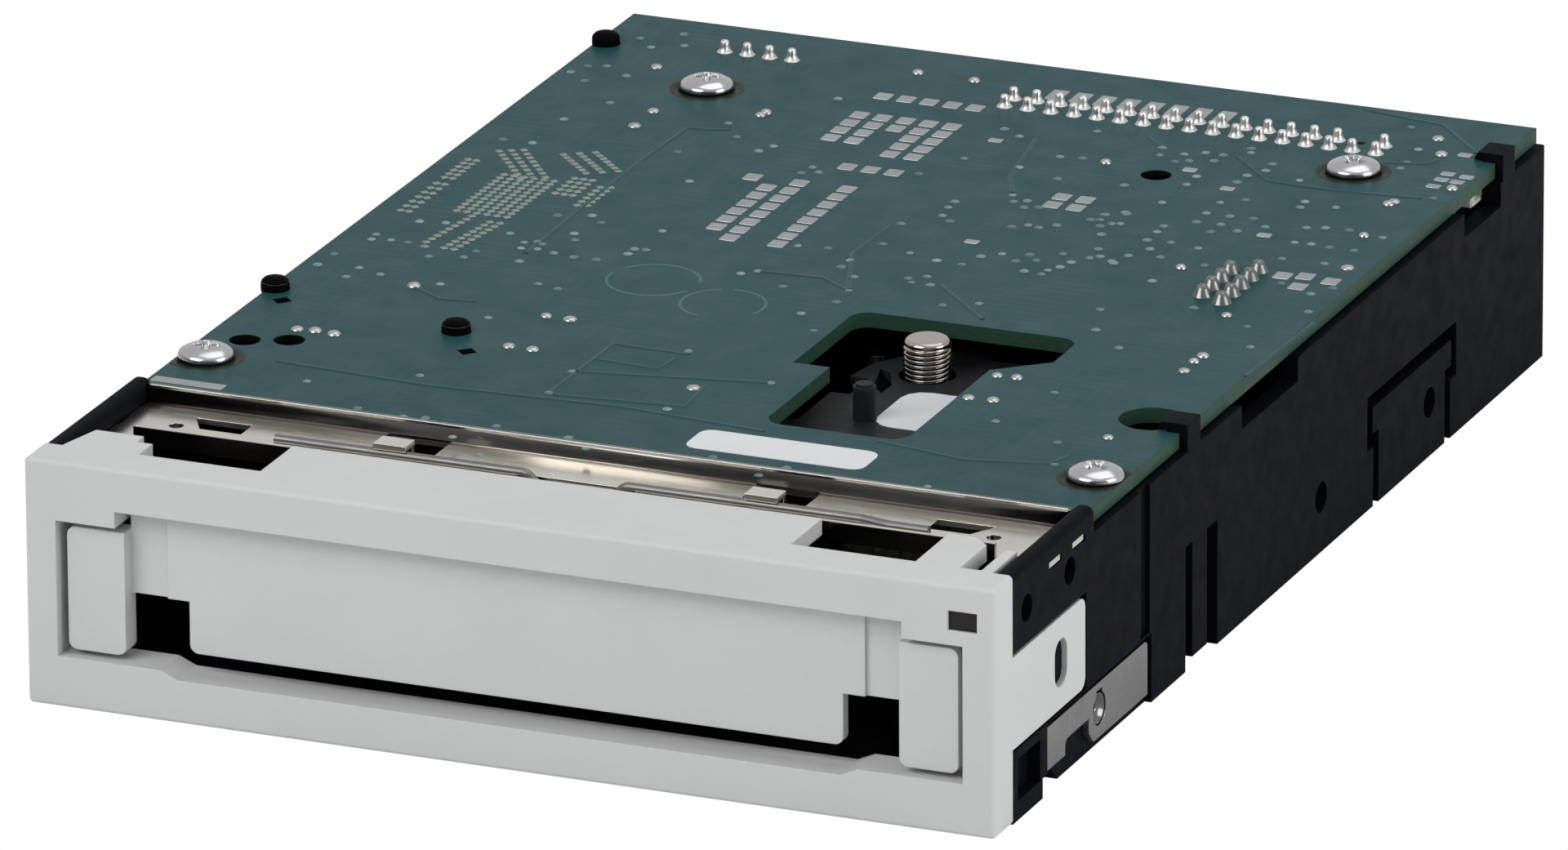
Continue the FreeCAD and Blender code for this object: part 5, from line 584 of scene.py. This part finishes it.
# Places on the board, across and back from the front face, and radii, all in millimetres.
PEGS = [(-27.4, 51.4), (-49.3, 56.5), (-48.9, 139.4)]
SCREWS = [(-47.2, 35.1), (47.2, 35.1), (-33.5, 129.7), (37.6, 129.7)]
PLAIN_HOLES = [(-45.8, 41.3), (-41.7, 42.9), (19.4, 121.3)]
HOLE = 1.60
DIAMOND_HOLES = [(-24.02, 46.3), (-47.22, 53.5)]
DIAMOND = 1.1
LIFT_AT = (16.2, 67.9)
BOARD_LABEL = (15.9, 31.25)
COVER_LABEL = (20.9, 57.6)
# The dark lining of a hole, which paints the shade inside it: its thickness, and its ends below the top of the
# board.
LINING, LINING_LOW, LINING_HIGH = 0.1, -1.58, -0.05
# Pins that come up through the board: the interface's two rows, the rear one without its key column, the
# power connector's row, and the signal header's two staggered rows, which run back.
PITCH = 2.54
INTERFACE_LEFT, INTERFACE_FRONT, INTERFACE_REAR = -3.0, 135.8, 138.34
INTERFACE_COLUMNS, KEY_COLUMN = 17, 15
POWER_LEFT, POWER_DEPTH, POWER_PITCH, POWER_COLUMNS = -36.4, 141.4, 2.5, 4
SIGNAL_RIGHT, SIGNAL_FRONT = 39.74, 87.5
SIGNAL_LEFT, SIGNAL_LEFT_FRONT = 37.2, 88.77
SIGNAL_ROWS = 5
# Round stamps: middle across and back and radius in millimetres, and the arcs that took ink in radians.
STAMPS = [(-15.3, 72.8, 4.7, ((0.2, 2.6), (3.0, 5.9))), (-6.1, 68.8, 4.3, ((-0.4, 1.7), (2.0, 4.5)))]
ARC_STEPS = 20
# How far out from the middle the bracket's roll, the snap lugs and the clip screws are, in millimetres, and
# how far back and up.
ROLL_SIDE = 48.9
LUG_OUT, LUG_DEPTH = 49.35, 17.0
CLIP_SCREW_OUT, CLIP_SCREW_DEPTH, CLIP_SCREW_HIGH = 50.68, 27.0, 4.1
# The slide of the flat cable socket: its inner end, and for each block its outer end, front, rear and height.
SLIDE_INNER = 43.6
SLIDE_BLOCKS = [(46.4, 130.3, 134.6, 2.2), (48.6, 134.6, 138.0, 2.6)]


def make_pads():
    """Bare solder pads in rows and on their own, and the land at the corner."""
    bm = bmesh.new()
    for x, depth, count, across, along in PAD_ROWS:
        long = EDGE_PAD_LONG if depth > EDGE_ROWS else PAD_LONG
        for number in range(count):
            at = place(x + number * across, depth + number * along)
            tile(bm, at, PAD_WIDE, long, height=0.07, corner=0.18)
    for u, v in LONE_PADS:
        tile(bm, seen(u, v), width=1.5, length=1.1, height=0.06, corner=0.2)
    tile(bm, place(*CORNER_LAND), width=7.7, length=1.5, height=0.03, corner=0.12)
    piece("board_pads", bm, "pad_metal")


def make_vias():
    """Covered vias of varied width, and the bands of small bare spots."""
    rng = random.Random(VIA_SEED)
    bm = bmesh.new()
    for u, v in VIAS:
        wide = rng.uniform(0.42, 0.52)
        dome = [(wide, -SUNK), (0.8 * wide, 0.07), (0.45 * wide, 0.11), (0.0, 0.12)]
        revolve(bm, seen(u, v), dome, steps=10)
    piece("board_vias", bm, "via_mask")
    bm = bmesh.new()
    for x0, y0, x1, y1, count, rows, across, along in SPOT_BANDS:
        for row in range(rows):
            for number in range(count):
                share = number / (count - 1)
                at = place(x0 + (x1 - x0) * share + row * across, y0 + (y1 - y0) * share + row * along)
                tile(bm, at, width=0.74, length=0.74, height=0.05, corner=0.1, turn=math.pi / 4)
    piece("bare_spots", bm, "spot_metal")


def make_solder():
    """Drops of solder of varied width and height."""
    rng = random.Random(SOLDER_SEED)
    bm = bmesh.new()
    for u, v in SOLDER_SPOTS:
        wide = rng.uniform(0.55, 0.72)
        high = rng.uniform(0.22, 0.38)
        drop = [(wide, -SUNK), (0.92 * wide, 0.4 * high), (0.66 * wide, 0.8 * high),
                (0.3 * wide, 0.97 * high), (0.0, high)]
        revolve(bm, seen(u, v), drop, steps=12)
    # The drops use the lighter copy of the solder, which paints their glints.
    piece("solder_spots", bm, "bright_solder")


def make_traces():
    """Raised copper runs under the mask."""
    bm = bmesh.new()
    for path in TRACES:
        trace(bm, [seen(u, v) for u, v in path], width=0.62, height=0.07)
    piece("board_traces", bm, "trace_mask")


def make_pin_joints():
    """Solder cones over the pins that come up through the board."""
    tall = [(0.86, -SUNK), (0.72, 0.12), (0.56, 0.38), (0.48, 0.70), (0.46, 1.08), (0.34, 1.24), (0.15, 1.29),
            (0.0, 1.3)]
    tip = (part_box("signal_pins")[1].z - BOARD_TOP) / MM
    wide = [(1.08, -SUNK), (0.98, 0.16), (0.84, 0.42), (0.66, 0.72), (0.5, tip - 0.06), (0.34, tip + 0.02),
            (0.14, tip + 0.06), (0.0, tip + 0.07)]
    bm = bmesh.new()
    for column in range(INTERFACE_COLUMNS):
        across = INTERFACE_LEFT + PITCH * column
        revolve(bm, place(across, INTERFACE_FRONT), tall, steps=12)
        if column != KEY_COLUMN:
            revolve(bm, place(across, INTERFACE_REAR), tall, steps=12)
    for column in range(POWER_COLUMNS):
        revolve(bm, place(POWER_LEFT + POWER_PITCH * column, POWER_DEPTH), tall, steps=12)
    piece("pin_joints", bm, "tinned_pins")
    bm = bmesh.new()
    for row in range(SIGNAL_ROWS):
        revolve(bm, place(SIGNAL_RIGHT, SIGNAL_FRONT + PITCH * row), wide, steps=14)
        if row < SIGNAL_ROWS - 1:
            revolve(bm, place(SIGNAL_LEFT, SIGNAL_LEFT_FRONT + PITCH * row), wide, steps=14)
    piece("signal_joints", bm, "solder")


# A board screw's head in millimetres: its dome, which falls away with the square and the fourth power of the
# radius, the arms of its cross recess with their sloping sides and ends, the depth of the recess and how much
# it gains towards the middle, and the radii and heights of the rim and shank.
HEAD_RADIUS, HEAD_HIGH = 2.60, 1.45
DOME_SQUARE, DOME_FOURTH = 0.050, 0.0068
ARM_HALF, ARM_SIDE = 0.40, 0.14
ARM_REACH, ARM_END = 1.36, 0.2
RECESS_DEPTH, MIDDLE_DEPTH, MIDDLE_REACH = 0.55, 0.55, 1.1
HEAD_RIM = [(2.73, 0.62), (2.79, 0.44), (2.80, 0.28), (2.77, 0.1), (2.66, 0.0), (1.5, 0.0), (1.5, -7.0)]
# How far the first screw was turned, and how much more each next one, in radians.
FIRST_TURN, NEXT_TURN = 0.35, 0.8


def head_height(x, y):
    """Height in millimetres of a screw head's face over the board, with its cross recess."""
    radius = math.hypot(x, y)
    dome = HEAD_HIGH - DOME_SQUARE * radius ** 2 - DOME_FOURTH * radius ** 4
    near, far = sorted((abs(x), abs(y)))
    arm = min(max((ARM_HALF - near) / ARM_SIDE, 0.0), 1.0) * min(max((ARM_REACH - far) / ARM_END, 0.0), 1.0)
    return dome - arm * (RECESS_DEPTH + MIDDLE_DEPTH * max(0.0, 1.0 - far / MIDDLE_REACH))


def screw_head(bm, centre, turn):
    """A pan head with a cross recess, and its shank down through the board."""
    steps, rows = 72, 26
    angles = [math.tau * step / steps for step in range(steps)]
    spin = Matrix.Rotation(turn, 3, "Z")
    rings = [[bm.verts.new(centre + MM * Vector((0.0, 0.0, head_height(0.0, 0.0))))]]
    for row in range(1, rows + 1):
        radius = HEAD_RADIUS * row / rows
        ring = []
        for angle in angles:
            x, y = radius * math.cos(angle), radius * math.sin(angle)
            ring.append(bm.verts.new(centre + MM * (spin @ Vector((x, y, head_height(x, y))))))
        rings.append(ring)
    for radius, height in HEAD_RIM:
        rings.append([bm.verts.new(centre + MM * on_circle(radius, turn + angle, height))
                      for angle in angles])
    bm.faces.new(rings[-1])
    for step in range(steps):
        bm.faces.new((rings[0][0], rings[1][step], rings[1][(step + 1) % steps]))
    for inner, outer in zip(rings[1:], rings[2:]):
        for step in range(steps):
            after = (step + 1) % steps
            bm.faces.new((inner[step], outer[step], outer[after], inner[after]))


def make_screws():
    """The four board screws, and the bare rings on the board that they stand on, whose dark colour is partly
    painted contact shade.
    """
    bm = bmesh.new()
    for number, (x, depth) in enumerate(SCREWS):
        screw_head(bm, place(x, depth), FIRST_TURN + NEXT_TURN * number)
    heads = piece("screw_heads", bm, "zinc_screws")
    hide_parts("board_screws")
    bm = bmesh.new()
    for x, depth in SCREWS:
        # Thin dark rings round each screw: a bare ring, darkened as painted contact shade.
        revolve(bm, place(x, depth), [(2.6, 0.0), (2.6, 0.02), (3.7, 0.02), (3.9, 0.0)], steps=40)
    for corner in bm.verts:
        corner.co.x = min(max(corner.co.x, BOARD_LOW.x), BOARD_HIGH.x)
    piece("screw_rings", bm, "bare_ring")


def make_lead_screw():
    """The turned and threaded rod that the head rides up and down on."""
    low, thread_low, thread_high = 0.5, 6.5, 23.55
    crest, root, pitch = 2.45, 2.02, 0.5
    chamfer, relief, flank = 0.25, 0.1, 1.25
    steps, rings_a_pitch = 36, 7
    plain = [(low, crest - chamfer), (low + chamfer, crest), (thread_low - relief, crest)]
    end = [(23.6, 2.2), (23.64, 2.36), (23.9, 2.36), (24.16, 2.08), (24.2, 1.95)]
    rings = [[(radius, height)] * steps for height, radius in plain]
    for number in range(int((thread_high - thread_low) / pitch * rings_a_pitch) + 1):
        height = thread_low + number * pitch / rings_a_pitch
        phases = [(height / pitch - step / steps) % 1.0 for step in range(steps)]
        rings.append([(root + (crest - root) * min(1.0, flank * abs(2.0 * phase - 1.0)), height)
                      for phase in phases])
    rings += [[(radius, height)] * steps for height, radius in end]
    centre = place(*LIFT_AT, 0.0)
    bm = bmesh.new()
    made = [[bm.verts.new(centre + MM * on_circle(radius, math.tau * step / steps, height))
             for step, (radius, height) in enumerate(ring)] for ring in rings]
    bm.faces.new(made[0])
    bm.faces.new(made[-1])
    bridge(bm, made)
    rod = piece("threaded_rod", bm, "brass_screw", body="lift")
    flat_top = rod.data.polygons[1]
    flat_top.use_smooth = False
    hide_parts("lead_screw")


def make_labels():
    """Bare paper labels on the board and in its window."""
    bm = bmesh.new()
    tile(bm, place(*BOARD_LABEL), width=18.8, length=5.5, height=0.09, corner=1.3)
    piece("board_label", bm, "paper_label", smooth=False)
    bm = bmesh.new()
    tile(bm, place(*COVER_LABEL, COVER_TOP), width=9.2, length=10.8, height=0.09, corner=2.4)
    piece("cover_label", bm, "paper_label", smooth=False)


def make_ink():
    """Faint round inspection stamps, with no lettering."""
    bm = bmesh.new()
    for x, depth, radius, arcs in STAMPS:
        for start, end in arcs:
            turns = [start + (end - start) * step / ARC_STEPS for step in range(ARC_STEPS + 1)]
            arc = [place(x + radius * math.cos(turn), depth + radius * math.sin(turn)) for turn in turns]
            trace(bm, arc, width=0.42, height=0.008)
    piece("ink_stamps", bm, "stamp_ink")


def make_bracket_roll():
    """The rolled face of the bracket's upstand, which leans back and turns over at its top."""
    profile = [(24.12, 23.41), (24.20, 23.62), (24.30, 23.95), (24.41, 24.30), (24.52, 24.62), (24.62, 24.86),
               (24.74, 25.03), (24.90, 25.13), (25.08, 25.14), (25.18, 25.06), (25.18, 23.5)]
    bm = bmesh.new()
    ends = [[bm.verts.new(place(x, depth, height)) for depth, height in profile]
            for x in (-ROLL_SIDE, ROLL_SIDE)]
    for end in ends:
        bm.faces.new(end)
    bridge(bm, ends)
    roll = piece("bracket_roll", bm, "plated_roll")
    for flat_end in roll.data.polygons[:2]:
        flat_end.use_smooth = False


def make_side_details():
    """The moulded snap lugs in the slots of the side arms, whose black also paints the shade deep in the slots,
    and the dished clip screws.
    """
    bm = bmesh.new()
    for side in (-1, 1):
        # Each lug fills its slot; its black also stands for the shade inside the slot.
        at = place(side * LUG_OUT, LUG_DEPTH, ARM_MIDDLE)
        tile(bm, at, width=2.96, length=4.56, height=1.0, corner=1.3, basis=SIDEWAYS[side])
    piece("snap_lugs_shade", bm, "black_moulding")
    bm = bmesh.new()
    dish = [(0.0, -2.4), (0.9, -2.4), (1.55, -0.5), (1.6, -0.05), (1.52, 0.0), (1.42, -0.04), (1.22, -0.35),
            (0.95, -0.5), (0.55, -0.54), (0.45, -0.9), (0.0, -0.95)]
    for side in (-1, 1):
        at = place(side * CLIP_SCREW_OUT, CLIP_SCREW_DEPTH, CLIP_SCREW_HIGH)
        revolve(bm, at, dish, steps=32, basis=SIDEWAYS[side])
    dished = piece("dished_screws", bm, "dark_screw")
    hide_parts("clip_screws")


def make_socket_slide():
    """The white slide of the flat cable socket, which shows through the rear notch of the right wall."""
    under = BOARD_LOW.z / MM
    bm = bmesh.new()
    for out, front, rear, high in SLIDE_BLOCKS:
        middle = place(out, (front + rear) / 2, under - high / 2)
        rings = []
        # The inner end, the rounded edge of the outer end, and the hollow in its face.
        for inset, reach in ((0.0, SLIDE_INNER - out), (0.0, -0.25), (0.2, 0.0), (0.55, 0.0), (0.65, -0.9)):
            rings.append([bm.verts.new(middle + MM * (SIDEWAYS[1] @ Vector((across, along, reach))))
                          for across, along in outline(rear - front - 2 * inset, high - 2 * inset, corner=0.2)])
        bm.faces.new(rings[0])
        bm.faces.new(rings[-1])
        bridge(bm, rings)
    piece("socket_slide", bm, "white_moulding", smooth=False)


def make_peg_caps():
    """Domed tops of the pegs that come up through the board, and dark linings of its holes that paint the shade
    inside them.
    """
    bm = bmesh.new()
    dome = [(1.36, -0.4), (1.46, 0.0), (1.46, 0.55), (1.38, 0.86), (1.12, 1.12), (0.65, 1.29), (0.0, 1.34)]
    for x, depth in PEGS:
        revolve(bm, place(x, depth), dome, steps=24)
    piece("peg_caps", bm, "dark_peg")
    bm = bmesh.new()
    for places, radius, steps in ((PLAIN_HOLES, HOLE, 24), (DIAMOND_HOLES, DIAMOND, 4)):
        inner = radius - LINING
        for x, depth in places:
            # Painted shade: a near-black lining inside each hole.
            lining = [(radius, LINING_LOW), (inner, LINING_LOW), (inner, LINING_HIGH), (radius, LINING_HIGH)]
            revolve(bm, place(x, depth), lining, steps)
    piece("hole_shade_linings", bm, "dark_peg")


make_pads()
make_peg_caps()
make_bracket_roll()
make_side_details()
make_socket_slide()
make_vias()
make_solder()
make_traces()
make_pin_joints()
make_screws()
make_lead_screw()
make_labels()
make_ink()


# Camera

def make_camera():
    """The camera of the photograph, from its solved place and directions."""
    data = bpy.data.cameras.new("camera")
    data.lens = LENS_MM
    data.sensor_width = SENSOR_MM
    data.clip_start, data.clip_end = 0.01, 50.0
    thing = bpy.data.objects.new("camera", data)
    thing.matrix_world = Matrix.Translation(CAMERA_AT) @ Matrix((RIGHT, TOP, BACK)).transposed().to_4x4()
    bpy.context.scene.collection.objects.link(thing)
    bpy.context.scene.camera = thing


# Light and stage

# Lamps: name, place and size in metres, and power in watts. All of them face one point.
LAMPS = [
    ("key", (-0.35, -0.70, 0.66), (0.7, 0.5), 5.1),
    ("top", (0.15, 0.25, 0.95), (0.8, 0.8), 2.8),
    ("side", (0.85, -0.05, 0.30), (0.5, 0.5), 3.5),
]
LIT_POINT = Vector((0.0, 0.0, 0.01))
# The floor's half width, and how far it lies below the object, in metres.
FLOOR_HALF, FLOOR_GAP = 3.0, 0.0004


def make_lamp(name, at, size, power):
    """A soft lamp with a rectangular face."""
    data = bpy.data.lights.new(name, "AREA")
    data.shape = "RECTANGLE"
    data.size, data.size_y = size
    data.energy = power
    thing = bpy.data.objects.new(name, data)
    thing.location = at
    thing.rotation_mode = "QUATERNION"
    thing.rotation_quaternion = (LIT_POINT - Vector(at)).to_track_quat("-Z", "Y")
    bpy.context.scene.collection.objects.link(thing)


def camera_or_clear(tree):
    """1 for rays from the camera or through clear surfaces, which see the white backdrop."""
    path = node(tree, "LightPath")
    return calculate(tree, "MAXIMUM", path.outputs["Is Camera Ray"], path.outputs["Is Transmission Ray"])


def studio_glow(tree):
    """What polished metal sees: bright above and behind the object, dark low in front of it."""
    direction = node(tree, "TexCoord").outputs["Generated"]
    axes = node(tree, "SeparateXYZ", Vector=direction)
    backward, upward = [calculate(tree, "MULTIPLY", axes.outputs[name], share)
                        for name, share in (("Y", 0.55), ("Z", 0.9))]
    height = calculate(tree, "ADD", backward, upward)
    span = node(tree, "MapRange", Value=height, From_Min=-0.40, From_Max=0.55, To_Min=0.05, To_Max=1.0)
    span.interpolation_type = "SMOOTHSTEP"
    return node(tree, "Background", Strength=span.outputs[0]).outputs[0]


def make_world():
    """Soft studio light from all round, a white backdrop for the camera, and a glow for metal to mirror."""
    world = bpy.data.worlds.new("studio")
    bpy.context.scene.world = world
    world.use_nodes = True
    tree = world.node_tree
    tree.nodes.clear()
    light = node(tree, "Background", Color=(0.94, 0.97, 1.0, 1.0), Strength=0.35)
    white = node(tree, "Background", Strength=1.0)
    glossy = node(tree, "LightPath").outputs["Is Glossy Ray"]
    lit = between(tree, glossy, light.outputs[0], studio_glow(tree))
    node(tree, "OutputWorld", Surface=between(tree, camera_or_clear(tree), lit, white.outputs[0]))


def make_floor():
    """A pale floor that the camera sees as white from above and through from below."""
    bm = bmesh.new()
    bmesh.ops.create_grid(bm, x_segments=1, y_segments=1, size=FLOOR_HALF)
    bmesh.ops.translate(bm, verts=bm.verts, vec=(0.0, 0.0, -FLOOR_GAP))
    floor = bpy.data.objects.new("floor", from_bmesh("floor", bm))
    bpy.context.scene.collection.objects.link(floor)
    material = bpy.data.materials.new("floor")
    material.use_nodes = True
    tree = material.node_tree
    surface = tree.nodes["Principled BSDF"]
    surface.inputs["Base Color"].default_value = (0.88, 0.88, 0.88, 1.0)
    surface.inputs["Roughness"].default_value = 0.9
    surface.inputs["Specular IOR Level"].default_value = 0.1
    glow = node(tree, "Emission")
    above = between(tree, camera_or_clear(tree), surface.outputs[0], glow.outputs[0])
    clear = node(tree, "BsdfTransparent")
    below = node(tree, "NewGeometry").outputs["Backfacing"]
    sided = between(tree, below, above, clear.outputs[0])
    feed(tree, tree.nodes["Material Output"].inputs["Surface"], sided)
    floor.data.materials.append(material)


make_camera()
make_world()
make_floor()
for lamp in LAMPS:
    make_lamp(*lamp)
bpy.context.scene.view_settings.view_transform = "Standard"
